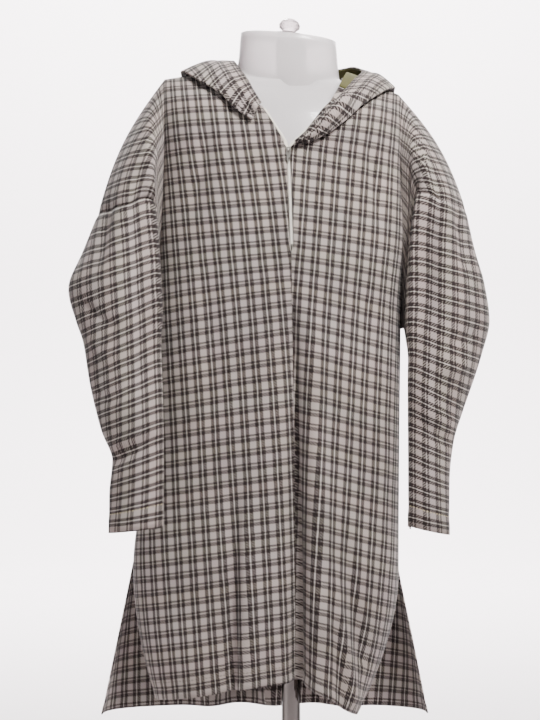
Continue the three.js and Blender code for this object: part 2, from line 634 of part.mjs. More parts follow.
function frontFrame(side, x, z) {
  const step = 1;
  const here = frontAt(side, x, z);
  const along = frontAt(side, x + step, z).sub(frontAt(side, x - step, z));
  const up = frontAt(side, x, z + step).sub(frontAt(side, x, z - step));
  return { here, out: point(0, 0, 0).crossVectors(along, up).normalize() };
}

const zipLineX = (z) => lerp(ZIP.sliderX, ZIP.endX, (ZIP.sliderZ - z) / (ZIP.sliderZ - ZIP.endZ));

// The inner edge of a tape: it shows past the cloth where the zip is open and meets the other one below.
function tapeEdgeX(side, z) {
  const meeting = zipLineX(Math.min(z, ZIP.sliderZ)) + (side * TAPE_GAP) / 2;
  const open = innerX(FRONT, side, 0, z) - side * TAPE_BAND.showing;
  return side < 0 ? Math.min(meeting, open) : Math.max(meeting, open);
}

function makeTape(side) {
  const cloth = new Cloth();
  const top = (side < 0 ? ZIP.leftZ : ZIP.rightZ) - 2;
  const { rows, columns, width, below } = TAPE_BAND;
  const depth = CLOTH / 2 + LAYER_GAP + TAPE / 2;
  const at = (i, j) => {
    const z = lerp(top, ZIP.endZ - below, i / rows);
    const frame = frontFrame(side, tapeEdgeX(side, z) + (side * width * j) / columns, z);
    return frame.here.addScaledVector(frame.out, -depth);
  };
  cloth.patch("zip_tape_" + sideName(side), rows, columns, at, side < 0);
  return cloth;
}

function makeChain() {
  const cloth = new Cloth();
  const top = ZIP.sliderZ - SLIDER.below - SLIDER.height / 2;
  const at = (i, j) => {
    const z = lerp(top, ZIP.endZ + STOP.height + 2 * SEAM_GAP, i / CHAIN.rows);
    const x = zipLineX(z) + CHAIN.width * (j - 0.5);
    const frame = frontFrame(1, zipLineX(z), z);
    return point(x, frame.here.y + CHAIN.sink, z);
  };
  cloth.patch("zip_chain", CHAIN.rows, 1, at);
  return cloth;
}

// ---- Booleans ----
function solidOf(geometry) {
  const bare = geometry.clone();
  bare.deleteAttribute("normal");
  bare.deleteAttribute("uv");
  const merged = mergeVertices(bare, 1e-4);
  return new wasm.Manifold(
    new wasm.Mesh({
      numProp: 3,
      vertProperties: merged.attributes.position.array,
      triVerts: new Uint32Array(merged.index.array),
    }),
  );
}

function geometryFrom(solid) {
  const mesh = solid.getMesh();
  const geometry = new THREE.BufferGeometry();
  geometry.setAttribute("position", new THREE.BufferAttribute(mesh.vertProperties, 3));
  geometry.setIndex(new THREE.BufferAttribute(mesh.triVerts, 1));
  geometry.computeVertexNormals();
  return geometry;
}

// The slit that the closed zip shows in.
function cutZipSlot(geometry) {
  const height = ZIP.sliderZ - ZIP.endZ + 4;
  const slot = new THREE.BoxGeometry(ZIP_SLOT, 50, height);
  slot.rotateY(Math.atan2(ZIP.sliderX - ZIP.endX, ZIP.sliderZ - ZIP.endZ));
  slot.translate((ZIP.sliderX + ZIP.endX) / 2, -FRONT.rows[0].depth, ZIP.endZ + height / 2 - 1);
  return geometryFrom(solidOf(geometry).subtract(solidOf(slot)));
}

// The slider's own frame: its middle on the cloth's middle surface.
const sliderPlace = () => frontAt(1, ZIP.sliderX + 0.01, ZIP.sliderZ - SLIDER.below);
const bridgeY = -(CLOTH / 2 + LAYER_GAP + SLIDER.thickness + BRIDGE.standoff);

function makeSlider() {
  const back = -(CLOTH / 2 + LAYER_GAP);
  const plate = new THREE.BoxGeometry(SLIDER.width, SLIDER.thickness, SLIDER.height);
  plate.translate(0, back - SLIDER.thickness / 2, 0);
  const stem = new THREE.BoxGeometry(SLIDER.stem, CLOTH + LAYER_GAP + 0.4, SLIDER.height - 3);
  stem.translate(0, back + (CLOTH + LAYER_GAP) / 2, 0);
  const legs = BRIDGE.standoff + SLIDER.thickness / 2;
  const arch = new THREE.Shape();
  arch.moveTo(legs, BRIDGE.outer);
  arch.lineTo(0, BRIDGE.outer);
  arch.absarc(0, 0, BRIDGE.outer, Math.PI / 2, (3 * Math.PI) / 2, false);
  arch.lineTo(legs, -BRIDGE.outer);
  arch.lineTo(legs, -BRIDGE.inner);
  arch.lineTo(0, -BRIDGE.inner);
  arch.absarc(0, 0, BRIDGE.inner, (3 * Math.PI) / 2, Math.PI / 2, true);
  arch.lineTo(legs, BRIDGE.inner);
  const extrusion = { depth: BRIDGE.width, bevelEnabled: false, curveSegments: 10 };
  const bridge = new THREE.ExtrudeGeometry(arch, extrusion);
  bridge.translate(0, 0, -BRIDGE.width / 2);
  bridge.rotateY(Math.PI / 2); // the extrusion runs along X, the profile's first axis along -Z
  bridge.rotateX(Math.PI / 2); // and now along Y
  bridge.translate(0, bridgeY, BRIDGE.up);
  return geometryFrom(solidOf(plate).add(solidOf(stem)).add(solidOf(bridge)));
}

// The tab hangs from its bar, which is the origin of this geometry.
function makeTab() {
  const half = TAB.width / 2;
  const outline = new THREE.Shape();
  outline.moveTo(-half, TAB.bar);
  outline.lineTo(half, TAB.bar);
  outline.lineTo(half, half - TAB.length);
  outline.absarc(0, half - TAB.length, half, 0, -Math.PI, true);
  const eye = new THREE.Path();
  eye.moveTo(-TAB.eyeWidth / 2, -TAB.bar);
  eye.lineTo(-TAB.eyeWidth / 2, -TAB.eyeEnd);
  eye.lineTo(TAB.eyeWidth / 2, -TAB.eyeEnd);
  eye.lineTo(TAB.eyeWidth / 2, -TAB.bar);
  outline.holes.push(eye);
  const extrusion = { depth: TAB.thickness, bevelEnabled: false, curveSegments: 10 };
  const tab = new THREE.ExtrudeGeometry(outline, extrusion);
  tab.translate(0, 0, -TAB.thickness / 2);
  tab.rotateX(Math.PI / 2);
  return tab;
}

// ---- The dress form and its stand ----
function yokeLean(x, z) {
  const low = THREE.MathUtils.smoothstep(z, NECK.leanEnd, NECK.leanFrom);
  const high = THREE.MathUtils.smoothstep(z, NECK.leanFrom, NECK.topZ);
  return -(x - SHOULDER.middleX) * lerp(SHOULDER.lean * low, NECK.leanTop, high);
}

// The same as bodyAt, on the flat facet between two rows.
function facetAt(side, x, a) {
  const rows = Math.abs(a) * ARCH_ROW;
  const around = [Math.floor(rows), Math.floor(rows) + 1];
  const [from, to] = around.map((row) => (Math.sign(a) * row) / ARCH_ROW);
  return bodyAt(side, x, from).lerp(bodyAt(side, x, to), rows - Math.floor(rows));
}

// The highest that the form may reach at x and y on its shoulders, under the cloth.
function underCloth(x, y) {
  const side = x < SHOULDER.middleX ? -1 : 1;
  let [low, high] = [0, 1];
  for (let i = 0; i < 16; i++) {
    const a = (low + high) / 2;
    if (Math.abs(facetAt(side, x, Math.sign(y) * a).y) < Math.abs(y)) low = a;
    else high = a;
  }
  const { out } = bodyFrame(side, x, Math.sign(y) * Math.max(low, 0.03));
  return facetAt(side, x, Math.sign(y) * low).z - (CLOTH / 2 + FORM_CLEARANCE) / Math.max(out.z, 0.3);
}

// One level ring of the form.
function formRing(level) {
  return Array.from({ length: FORM_SIDES }, (_, i) => {
    const angle = (2 * Math.PI * (i + 0.5)) / FORM_SIDES;
    const [c, s] = [Math.cos(angle), Math.sin(angle)];
    const x = level.x + level.half * Math.sign(c) * Math.abs(c) ** 0.85;
    const y = (s < 0 ? level.front : level.back) * Math.sign(s) * Math.abs(s) ** 0.92;
    const z = level.z + yokeLean(x, level.z);
    return point(x, y, level.top ? Math.min(z, underCloth(x, y)) : z);
  });
}

// The same ring on the inner side of the wall.
function innerRing(level) {
  const sunk = level.top || level.z === NECK.topZ ? FORM_WALL : 0;
  return formRing(level).map((p) => {
    const away = point(p.x - level.x, p.y, 0);
    const length = away.length();
    return p.addScaledVector(away, -FORM_WALL / length).add(point(0, 0, -sunk));
  });
}

function makeForm() {
  const { hole, middleX, topZ } = NECK;
  const holeRing = (z) => formRing({ z, x: middleX, half: hole, front: hole, back: hole, top: 0 });
  const rings = [
    ...FORM.map(formRing),
    holeRing(topZ),
    holeRing(topZ).map((p) => p.add(point(0, 0, -FORM_WALL))),
    ...FORM.map(innerRing).reverse(),
  ];
  const triangles = [];
  rings.forEach((_, k) => {
    const next = (k + 1) % rings.length;
    for (let i = 0; i < FORM_SIDES; i++) {
      const j = (i + 1) % FORM_SIDES;
      const [a, b] = [k * FORM_SIDES + i, k * FORM_SIDES + j];
      const [c, d] = [next * FORM_SIDES + j, next * FORM_SIDES + i];
      triangles.push(a, b, c, a, c, d);
    }
  });
  return geometryOf(rings.flat(), triangles);
}

const turned = (profile, sides = 40) =>
  new THREE.LatheGeometry(profile.map(([r, z]) => new THREE.Vector2(r, z)), sides).rotateX(Math.PI / 2);

// ---- Putting it together ----
const part = new THREE.Group();

function add(name, geometry, colour, options = {}) {
  const material = new THREE.MeshStandardMaterial({ color: colour, roughness: 0.9, metalness: 0, ...options });
  const mesh = new THREE.Mesh(geometry, material);
  mesh.name = name;
  part.add(mesh);
  return mesh;
}

const garment = makeGarment();
add("front_panel", cutZipSlot(garment.wall("front_panel", CLOTH)), COLOURS.tweed);
for (const name of ["back_panel", "sleeve_left", "sleeve_right"]) {
  add(name, garment.wall(name, CLOTH), COLOURS.tweed);
}

const hood = makeHood();
for (const name of ["hood_left", "hood_right"]) add(name, hood.wall(name, CLOTH), COLOURS.tweed);
add("hood_lining", makeLining(hood).wall("hood_lining", LINING_CLOTH), COLOURS.olive);

for (const side of [-1, 1]) {
  const name = "zip_tape_" + sideName(side);
  add(name, makeTape(side).wall(name, TAPE), COLOURS.cream);
}
add("zip_chain", makeChain().wall("zip_chain", CHAIN.thickness), COLOURS.cream);
const stopBlock = new THREE.BoxGeometry(STOP.width, STOP.thickness, STOP.height);
const stop = add("zip_stop", stopBlock, COLOURS.metal, STEEL);
const stopY = frontAt(1, ZIP.endX + 0.01, ZIP.endZ).y + CHAIN.sink;
stop.position.set(ZIP.endX, stopY, ZIP.endZ + STOP.height / 2);
const slider = new THREE.Group();
slider.position.copy(sliderPlace());
part.add(slider);
slider.add(add("zip_slider", makeSlider(), COLOURS.metal, STEEL));
const tab = add("zip_pull_tab", makeTab(), COLOURS.metal, STEEL);
tab.position.set(0, bridgeY, BRIDGE.up);
slider.add(tab);

add("form_shell", makeForm(), COLOURS.plastic, { roughness: 0.25, transparent: true, opacity: 0.5 });
const neckTop = new THREE.Group();
neckTop.position.set(NECK.middleX, 0, NECK.topZ + yokeLean(NECK.middleX, NECK.topZ));
neckTop.rotation.y = Math.atan(NECK.leanTop);
part.add(neckTop);
const capProfile = [
  [0, -CAP.stemLength],
  [CAP.stem, -CAP.stemLength],
  [CAP.stem, LAYER_GAP],
  [CAP.radius - 2, LAYER_GAP],
  [CAP.radius, LAYER_GAP + 1.5],
  [CAP.radius - 2, CAP.thickness],
  [0, CAP.thickness],
];
neckTop.add(add("form_cap", turned(capProfile), COLOURS.clear, { roughness: 0.2 }));
const knobProfile = [
  [0, 0],
  [0.55, 0],
  [0.62, 0.2],
  [0.95, 0.38],
  [1, 0.6],
  [0.8, 0.82],
  [0.45, 0.97],
  [0, 1],
].map(([r, z]) => [r * KNOB.radius, CAP.thickness + LAYER_GAP + z * KNOB.height]);
neckTop.add(add("form_knob", turned(knobProfile, 24), COLOURS.clear, { roughness: 0.15 }));

const socketProfile = [
  [SOCKET.inner, SOCKET.bottomZ],
  [SOCKET.outer, SOCKET.bottomZ],
  [SOCKET.outer, SOCKET.topZ],
  [SOCKET.inner, SOCKET.topZ],
  [SOCKET.inner, SOCKET.bottomZ],
];
add("form_socket", turned(socketProfile), COLOURS.plastic, { roughness: 0.4 });
const poleLength = POLE.topZ - POLE.bottomZ;
const pole = new THREE.CylinderGeometry(POLE.radius, POLE.radius, poleLength, 40).rotateX(Math.PI / 2);
add("stand_pole", pole, COLOURS.metal, STEEL).position.z = (POLE.topZ + POLE.bottomZ) / 2;
const baseProfile = [
  [0, 0],
  [BASE.radius, 0],
  [BASE.radius, BASE.rim],
  [BASE.radius - 14, BASE.height - 1],
  [BASE.hubRadius + 3, BASE.height + 3],
  [BASE.hubRadius, BASE.hubTop],
  [BASE.bore, BASE.hubTop],
  [BASE.bore, BASE.height],
  [0, BASE.height],
];
add("stand_base", turned(baseProfile, 64), COLOURS.metal, STEEL);

export default part;
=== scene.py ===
import math

import bpy
import numpy as np
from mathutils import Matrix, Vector


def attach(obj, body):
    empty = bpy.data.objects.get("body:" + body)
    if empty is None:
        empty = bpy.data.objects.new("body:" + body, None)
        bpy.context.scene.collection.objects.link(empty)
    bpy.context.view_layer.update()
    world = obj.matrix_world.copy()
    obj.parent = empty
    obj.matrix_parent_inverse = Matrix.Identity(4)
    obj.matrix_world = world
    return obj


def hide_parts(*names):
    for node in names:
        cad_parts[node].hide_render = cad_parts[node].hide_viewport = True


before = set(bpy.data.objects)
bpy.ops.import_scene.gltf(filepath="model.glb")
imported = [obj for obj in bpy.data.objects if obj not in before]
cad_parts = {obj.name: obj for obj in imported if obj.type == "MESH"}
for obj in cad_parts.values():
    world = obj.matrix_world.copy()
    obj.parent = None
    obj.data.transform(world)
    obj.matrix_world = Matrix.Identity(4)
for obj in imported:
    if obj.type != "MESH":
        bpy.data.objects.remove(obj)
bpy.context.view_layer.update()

bl_info = {
    "name": "Hooded pheran on a dress form",
    "version": (1, 0, 0),
    "blender": (4, 5, 0),
    "location": "View3D > Sidebar > Pheran",
    "description": "Dresses the frame of a check-tweed pheran with cloth, zip, stitching and dress form",
    "category": "Object",
}

STAND = "garment_on_stand"
MM = 0.001

# ---- The cut of the garment, in millimetres, the same values that the solids are made from ----
CLOTH = 2.0
LINING_CLOTH = 1.2
LAYER_GAP = 0.4
FINE = 4  # rows and columns of the cloth to one of the solids


def table(names, *rows):
    """Rows of numbers as dictionaries under the given names."""
    return [dict(zip(names.split(), row)) for row in rows]


# Shoulder line: level over the neck, then falling; the whole yoke leans a little to one side
SHOULDER = {"middleX": -14, "topZ": 1268, "lean": 0.063}
SHOULDER_ENDS = {
    "left": {"neckX": -90, "tipX": -189, "fall": 0.21},
    "right": {"neckX": 82, "tipX": 160, "fall": 0.27},
}
ARCH_ROW = 5
UNDERARM_ROW = 10
SLIT_ROW = 18
HEM_ROW = 24
HALF_COLUMNS = 14
NECK_COLUMN = 5

# The side line of front and back at a few rows, the same for both down to the slits
SIDES = table(
    "row left right leftZ rightZ",
    (5, -187, 160, 1157, 1136),
    (7.5, -191, 164, 1035, 1020),
    (10, -211, 163, 894, 885),
    (14, -213, 161, 722, 712),
    (18, -235, 160, 540, 527),
    (21, -237, 160, 437, 422),
    (24, -239, 160, 336, 314),
)

# Each panel: its height at the centre, how far it stands out there (depth) and at its side edge (edge),
# and how far its section rounds into the side (1 is a half ellipse)
FRONT = {
    "face": -1,
    "neckAngle": 60,
    "neckPower": 1.8,
    "flare": {"left": 38, "right": -62, "power": 1.9, "leftZ": 0, "rightZ": 0},
    "rows": table(
        "row centreX centreZ depth edge round",
        (5, -5, 1146, 108, 42, 0.5),
        (7.5, -1, 1030, 112, 45, 0.5),
        (10, 1, 912, 112, 0, 0.95),
        (14, 4, 742, 112, 0, 1),
        (18, 6, 566, 114, 0, 1),
        (21, 7, 470, 114, 5, 1),
        (24, 8, 372, 112, 9, 1),
    ),
}
BACK = {
    "face": 1,
    "neckAngle": 33,
    "neckPower": 3.5,
    "flare": {"left": -45, "right": 45, "power": 1, "leftZ": -31, "rightZ": -7},
    "rows": table(
        "row centreX centreZ depth edge round",
        (5, -10, 1152, 102, 46, 0.5),
        (7.5, -12, 1034, 104, 42, 0.5),
        (10, -16, 908, 102, 0, 0.95),
        (14, -22, 734, 98, 0, 1),
        (18, -28, 552, 100, 0, 1),
        (21, -32, 440, 104, 6, 1),
        (24, -36, 304, 108, 10, 1),
    ),
}

# Long folds: where each runs at its top and at the hem, how far it stands out there, and half its width
FRONT_FOLDS = table(
    "topX hemX topZ out width",
    (2, 9, 1000, -24, 15),
    (30, 40, 960, 13, 20),
    (-74, -84, 700, -10, 14),
    (-56, -62, 700, 7, 16),
    (62, 84, 560, 9, 13),
    (-150, -140, 560, 6, 24),
)
BACK_FOLDS = table(
    "topX hemX topZ out width",
    (-10, -24, 1000, -16, 24),
    (60, 84, 820, -20, 26),
    (-90, -124, 860, -18, 24),
    (-40, -74, 700, 9, 26),
    (26, 34, 700, 9, 24),
)
ZIP = {
    "leftX": -43,
    "rightX": 53,
    "leftZ": 1208,
    "rightZ": 1201,
    "sliderX": -5,
    "sliderZ": 1146,
    "endX": 0,
    "endZ": 1002,
}

# Sleeves from the drop-shoulder seam to the cuff: the fold over the arm, the ridge at the front, the underarm
# side, and the middle and half depth of the tube
SLEEVE_LEFT = table(
    "outX outZ inX inZ underX underZ mid half",
    (-288, 1055, -208, 1073, -220, 897, -12, 70),
    (-310, 999, -203, 1032, -223, 879, -20, 70),
    (-330, 945, -198, 984, -224, 860, -32, 66),
    (-318, 898, -196, 943, -224, 840, -44, 60),
    (-306, 865, -194, 910, -223, 820, -54, 56),
    (-295, 806, -191, 849, -220, 784, -70, 50),
    (-276, 737, -187, 767, -212, 722, -94, 42),
    (-259, 692, -186, 719, -208, 690, -104, 37),
    (-263, 643, -186, 666, -204, 644, -110, 35),
    (-263, 589, -187, 599, -202, 592, -114, 33),
)
SLEEVE_RIGHT = table(
    "outX outZ inX inZ underX underZ mid half",
    (260, 1061, 187, 1081, 174, 888, -12, 70),
    (273, 1003, 180, 1022, 177, 872, -14, 68),
    (288, 950, 178, 975, 179, 853, -16, 66),
    (295, 898, 177, 927, 180, 832, -18, 62),
    (284, 850, 176, 883, 180, 806, -20, 58),
    (272, 812, 175, 846, 180, 782, -22, 54),
    (255, 764, 174, 802, 179, 752, -25, 48),
    (240, 715, 174, 743, 178, 710, -30, 40),
    (234, 660, 174, 684, 178, 660, -35, 36),
    (233, 580, 174, 594, 177, 588, -40, 32),
)
SEAM_RINGS = 4
SLEEVE_RINGS = 14
EXTENSION_BULGE = {"out": 12, "up": 6, "forward": 12}

# The fallen hood, from the zip round to the middle of the back: seam and outer fold on the panels, rim free
HOOD_LEFT = table(
    "seamX seamA foldX foldA rimX rimY rimZ",
    (-47, -0.66, -56, -0.79, -44, -105, 1211),
    (-58, -0.5, -77, -0.72, -56, -90, 1232),
    (-73, -0.3, -104, -0.56, -70, -66, 1257),
    (-88, -0.06, -136, -0.36, -85, -16, 1284),
    (-90, 0.08, -160, 0.05, -89, 28, 1289),
    (-70, 0.29, -150, 0.6, -72, 70, 1287),
    (-42, 0.37, -96, 1.05, -44, 92, 1283),
    (-10.5, 0.39, -10.5, 1.25, -10.5, 98, 1281),
)
HOOD_RIGHT = table(
    "seamX seamA foldX foldA rimX rimY rimZ",
    (6, -0.97, 14, -0.97, 4, -118, 1154),
    (28, -0.82, 47, -0.88, 25, -117, 1173),
    (54, -0.64, 79, -0.74, 53, -108, 1203),
    (70, -0.42, 108, -0.55, 70, -96, 1222),
    (79, -0.2, 132, -0.32, 88, -68, 1246),
    (84, 0.04, 150, 0.02, 105, -20, 1269),
    (76, 0.25, 140, 0.55, 88, 55, 1285),
    (44, 0.37, 86, 1.02, 48, 88, 1284),
    (-9.5, 0.39, -9.5, 1.25, -9.5, 98, 1281),
)
HOOD_LINING = {"left": 6, "right": 5, "firstRows": 6, "lastRows": 13}
HOOD = {"turn": 2.6, "lift": 5.2, "puff": 7, "columns": 14, "rows": 16}

# The dress form, level by level before the yoke leans
FORM = table(
    "z x half front back top",
    (640, -6, 128, 86, 82, 0),
    (760, -6, 138, 90, 86, 0),
    (900, -6, 120, 80, 74, 0),
    (1040, -8, 146, 94, 82, 0),
    (1130, -12, 160, 90, 80, 0),
    (1190, -13, 167, 78, 72, 0),
    (1225, -13, 168, 64, 62, 0),
    (1238, -13, 166, 56, 56, 1),
    (1245, -12.5, 162, 52, 52, 1),
    (1250.5, -12, 152, 49, 49, 1),
    (1256, -9.5, 129, 46, 46, 1),
    (1261, -6, 104, 45, 45, 1),
    (1264, -4, 80, 47, 42, 1),
    (1276, -4, 75.5, 50, 46, 0),
    (1322, -4, 71.5, 52, 48, 0),
)
FORM_WALL = 3
FORM_CLEARANCE = 0.5
NECK = {"leanTop": 0.1, "leanFrom": 1150, "leanEnd": 900, "hole": 15.5, "middleX": -4, "topZ": 1322}
CHAIN = {"sink": 0.3, "toothWide": 3.1, "toothThick": 1.5}
STOP = {"height": 3}
TAPE_BAND = {"showing": 3, "width": 14, "below": 8, "rows": 16, "columns": 3}
TAPE_GAP = 0.4
SLIDER = {"height": 11, "below": 5}
ZIP_SLOT = 4.6  # width of the slit that the closed chain shows in


# ---- Curves ----
def lerp(a, b, t):
    return a + (b - a) * t


def clamp(value, low=0.0, high=1.0):
    return max(low, min(high, value))


def smooth(value, low, high):
    t = clamp((value - low) / (high - low))
    return t * t * (3 - 2 * t)


COLUMN_CACHE = {}


def column(rows, key, name, at):
    """A table's column at a key, on a smooth curve through the rows that never swings past one."""
    token = (id(rows), name, round(at, 5))
    if token not in COLUMN_CACHE:
        COLUMN_CACHE[token] = curve_value(rows, key, name, at)
    return COLUMN_CACHE[token]


def curve_value(rows, key, name, at):
    last = len(rows) - 1
    i = next((k for k, row in enumerate(rows) if row[key] > at), last) - 1
    i = int(clamp(i, 0, last - 1))

    def rise(j):
        return (rows[j + 1][name] - rows[j][name]) / (rows[j + 1][key] - rows[j][key])

    def slope(j):
        if j in (0, last):
            return rise(0 if j == 0 else last - 1)
        before, after = rise(j - 1), rise(j)
        return 2 * before * after / (before + after) if before * after > 0 else 0.0

    span = rows[i + 1][key] - rows[i][key]
    t = clamp((at - rows[i][key]) / span)
    t2, t3 = t * t, t * t * t
    return (
        (2 * t3 - 3 * t2 + 1) * rows[i][name]
        + (t3 - 2 * t2 + t) * span * slope(i)
        + (3 * t2 - 2 * t3) * rows[i + 1][name]
        + (t3 - t2) * span * slope(i + 1)
    )


def on_curve(points, t, closed=False):
    """A point on a smooth curve through the control points; t counts control points."""
    n = len(points)
    whole = math.floor(t)
    f = t - whole
    weights = (
        (-f + 2 * f * f - f**3) / 2,
        (2 - 5 * f * f + 3 * f**3) / 2,
        (f + 4 * f * f - 3 * f**3) / 2,
        (f**3 - f * f) / 2,
    )
    total = Vector((0, 0, 0))
    for step, weight in zip((-1, 0, 1, 2), weights):
        k = (whole + step) % n if closed else int(clamp(whole + step, 0, n - 1))
        total += points[k] * weight
    return total


# ---- The body of the garment ----
def side_name(side):
    return "left" if side < 0 else "right"


def shoulder_z(x):
    left, right = SHOULDER_ENDS["left"], SHOULDER_ENDS["right"]
    drop = left["fall"] * max(0, left["neckX"] - x) + right["fall"] * max(0, x - right["neckX"])
    return SHOULDER["topZ"] - SHOULDER["lean"] * (x - SHOULDER["middleX"]) - drop


def panel_value(panel, name, row):
    return column(panel["rows"], "row", name, row)


def inner_x(panel, side, row, z):
    if panel is BACK or row >= ARCH_ROW:
        return panel_value(panel, "centreX", max(row, ARCH_ROW))
    top_x, top_z = (ZIP["leftX"], ZIP["leftZ"]) if side < 0 else (ZIP["rightX"], ZIP["rightZ"])
    return lerp(ZIP["sliderX"], top_x, clamp((z - ZIP["sliderZ"]) / (top_z - ZIP["sliderZ"])))


def fold_shift(folds, x, z):
    total = 0.0
    for fold in folds:
        t = clamp((fold["topZ"] - z) / (fold["topZ"] - 320), 0, 1.05)
        away = (x - lerp(fold["topX"], fold["hemX"], t)) / fold["width"]
        total += fold["out"] * t**0.8 * math.exp(-away * away)
    return total


def stand_out(panel, u, row):
    edge, depth = panel_value(panel, "edge", row), panel_value(panel, "depth", row)
    return edge + (depth - edge) * max(0.0, math.cos(u * math.pi / 2)) ** 0.75


def spread(panel, u, row):
    return lerp(u, math.sin(u * math.pi / 2), panel_value(panel, "round", row))


def hanging_z(panel, side, u, row):
    slit = max(0.0, (row - SLIT_ROW) / (HEM_ROW - SLIT_ROW))
    name = side_name(side) + "Z"
    side_z = column(SIDES, "row", name, row) + panel["flare"][name] * slit
    return lerp(panel_value(panel, "centreZ", row), side_z, abs(spread(panel, u, row)) ** 1.2)


def hanging_point(panel, side, u, row):
    name = side_name(side)
    slit = max(0.0, (row - SLIT_ROW) / (HEM_ROW - SLIT_ROW))
    z = hanging_z(panel, side, u, row)
    edge_x = column(SIDES, "row", name, row) + panel["flare"][name] * slit ** panel["flare"]["power"]
    x = lerp(inner_x(panel, side, row, z), edge_x, spread(panel, u, row))
    folds = FRONT_FOLDS if panel is FRONT else BACK_FOLDS
    out = stand_out(panel, u, row) + fold_shift(folds, x, z) * (1 - u**6)
    return Vector((x, panel["face"] * out, z))


def arch_point(panel, side, u, angle):
    name = side_name(side)
    sin, cos = math.sin(math.radians(angle)), math.cos(math.radians(angle))
    top_inner = BACK["rows"][0]["centreX"] if panel is BACK else ZIP[name + "X"]
    split = NECK_COLUMN / HALF_COLUMNS
    ends = SHOULDER_ENDS[name]

    def line_x(inner):
        if u < split:
            return lerp(inner, ends["neckX"], u / split)
        return lerp(ends["neckX"], ends["tipX"], (u - split) / (1 - split))

    ridge_z = shoulder_z(line_x(top_inner))
    z = ridge_z - (ridge_z - hanging_z(panel, side, u, ARCH_ROW)) * (1 - cos)
    inner = inner_x(panel, side, 0, z)
    chest_x = lerp(inner, column(SIDES, "row", name, ARCH_ROW), spread(panel, u, ARCH_ROW))
    out = panel["face"] * stand_out(panel, u, ARCH_ROW) * sin
    return Vector((lerp(line_x(inner), chest_x, sin * sin), out, z))


def neck_angle(panel, u):
    split = NECK_COLUMN / HALF_COLUMNS
    return panel["neckAngle"] * (1 - (u / split) ** panel["neckPower"]) if u < split else 0.0


def panel_point(panel, side, u, row):
    if row >= ARCH_ROW:
        return hanging_point(panel, side, u, row)
    return arch_point(panel, side, u, lerp(neck_angle(panel, u), 90, row / ARCH_ROW))


# ---- Sleeves and the extensions that carry them ----
def number_rows(rows, key):
    """Gives each row of a table its share of the way along, under a name."""
    for number, row in enumerate(rows):
        row[key] = number / (len(rows) - 1)


number_rows(SLEEVE_LEFT, "ring")
number_rows(SLEEVE_RIGHT, "ring")
number_rows(HOOD_LEFT, "along")
number_rows(HOOD_RIGHT, "along")


def sleeve_point(side, ring, turn, face):
    rows = SLEEVE_LEFT if side < 0 else SLEEVE_RIGHT

    def at(name):
        return column(rows, "ring", name, ring)

    mid, half = at("mid"), at("half")
    out = Vector((at("outX"), mid, at("outZ")))
    ridge = Vector((at("inX"), mid, at("inZ")))
    under = Vector((at("underX"), mid + 0.5 * half * (0.6 if side < 0 else 0.1), at("underZ")))
    back_ridge = Vector((under.x, mid, ridge.z))

    def half_ring(toward, inner):
        reach = Vector((0, toward * half, 0))
        return [
            out.lerp(inner, 0.2) + reach * 0.62,
            out.lerp(inner, 0.6) + reach,
            inner + reach * 0.72,
            inner.lerp(under, 0.34) + reach * 0.42,
            inner.lerp(under, 0.7) + reach * 0.2,
        ]

    points = [out, *half_ring(-1, ridge), under, *reversed(half_ring(1, back_ridge))]
    return on_curve(points, turn if face < 0 else (12 - turn) % 12, True)


def extension_point(panel, side, w, row):
    body = panel_point(panel, side, 1, row)
    seam = sleeve_point(side, 0, row * 6 / UNDERARM_ROW, panel["face"])
    if w == 0:
        return body
    if w == 1:
        return seam
    bow = math.sin(math.pi * w)
    high = max(0.0, 1 - row / ARCH_ROW)
    ridge = math.sin(math.pi * row / UNDERARM_ROW)
    bulge = EXTENSION_BULGE
    out, forward = side * bulge["out"] * bow * high, panel["face"] * bulge["forward"] * bow * ridge
    return body.lerp(seam, w) + Vector((out, forward, bulge["up"] * bow * high))


# ---- The hood ----
def body_at(side, x, a):
    """A point on the panels at x and a: -1 chest, 0 shoulder line, 1 shoulder blades, more down the back."""
    panel = FRONT if a < 0 else BACK

    def at(u):
        if abs(a) <= 1:
            return arch_point(panel, side, u, 90 * abs(a))
        return hanging_point(panel, side, u, ARCH_ROW + (abs(a) - 1) * (UNDERARM_ROW - ARCH_ROW))

    low, high = -0.2, 1.0
    for _ in range(16):
        middle = (low + high) / 2
        if (at(middle).x - x) * side < 0:
            low = middle
        else:
            high = middle
    return at((low + high) / 2)


def body_frame(side, x, a):
    along = body_at(side, x + side, a) - body_at(side, x - side, a)
    down = body_at(side, x, a + 0.02) - body_at(side, x, a - 0.02)
    return body_at(side, x, a), (along.cross(down) * side).normalized()


def hood_base(side, along, t):
    rows = HOOD_LEFT if side < 0 else HOOD_RIGHT

    def at(name):
        return column(rows, "along", name, along)

    return body_frame(side, lerp(at("seamX"), at("foldX"), t), lerp(at("seamA"), at("foldA"), t))


def hood_section(side, along):
    rows = HOOD_LEFT if side < 0 else HOOD_RIGHT
    under = [hood_base(side, along, t) for t in (0, 0.25, 0.5, 0.75, 1)]
    seam, (fold, fold_out) = under[0][0], under[4]
    rim = Vector([column(rows, "along", name, along) for name in ("rimX", "rimY", "rimZ")])
    away = (fold - seam).normalized()
    lift, turn = HOOD["lift"], HOOD["turn"]
    edge = fold + fold_out * (lift + turn) + away * turn
    upper = fold + fold_out * (lift + 2 * turn)
    crown = upper.lerp(rim, 0.5) + under[2][1] * HOOD["puff"]
    return [here + out * lift for here, out in under] + [edge, upper, crown, rim]


def front_at(side, x, z):
    """A point of the front at x and z; x may lie inside the open V."""
    low, high = -2.0, 0.0
    for _ in range(16):
        a = (low + high) / 2
        if body_at(side, x, a).z < z:
            low = a
        else:
            high = a
    return body_at(side, x, low)


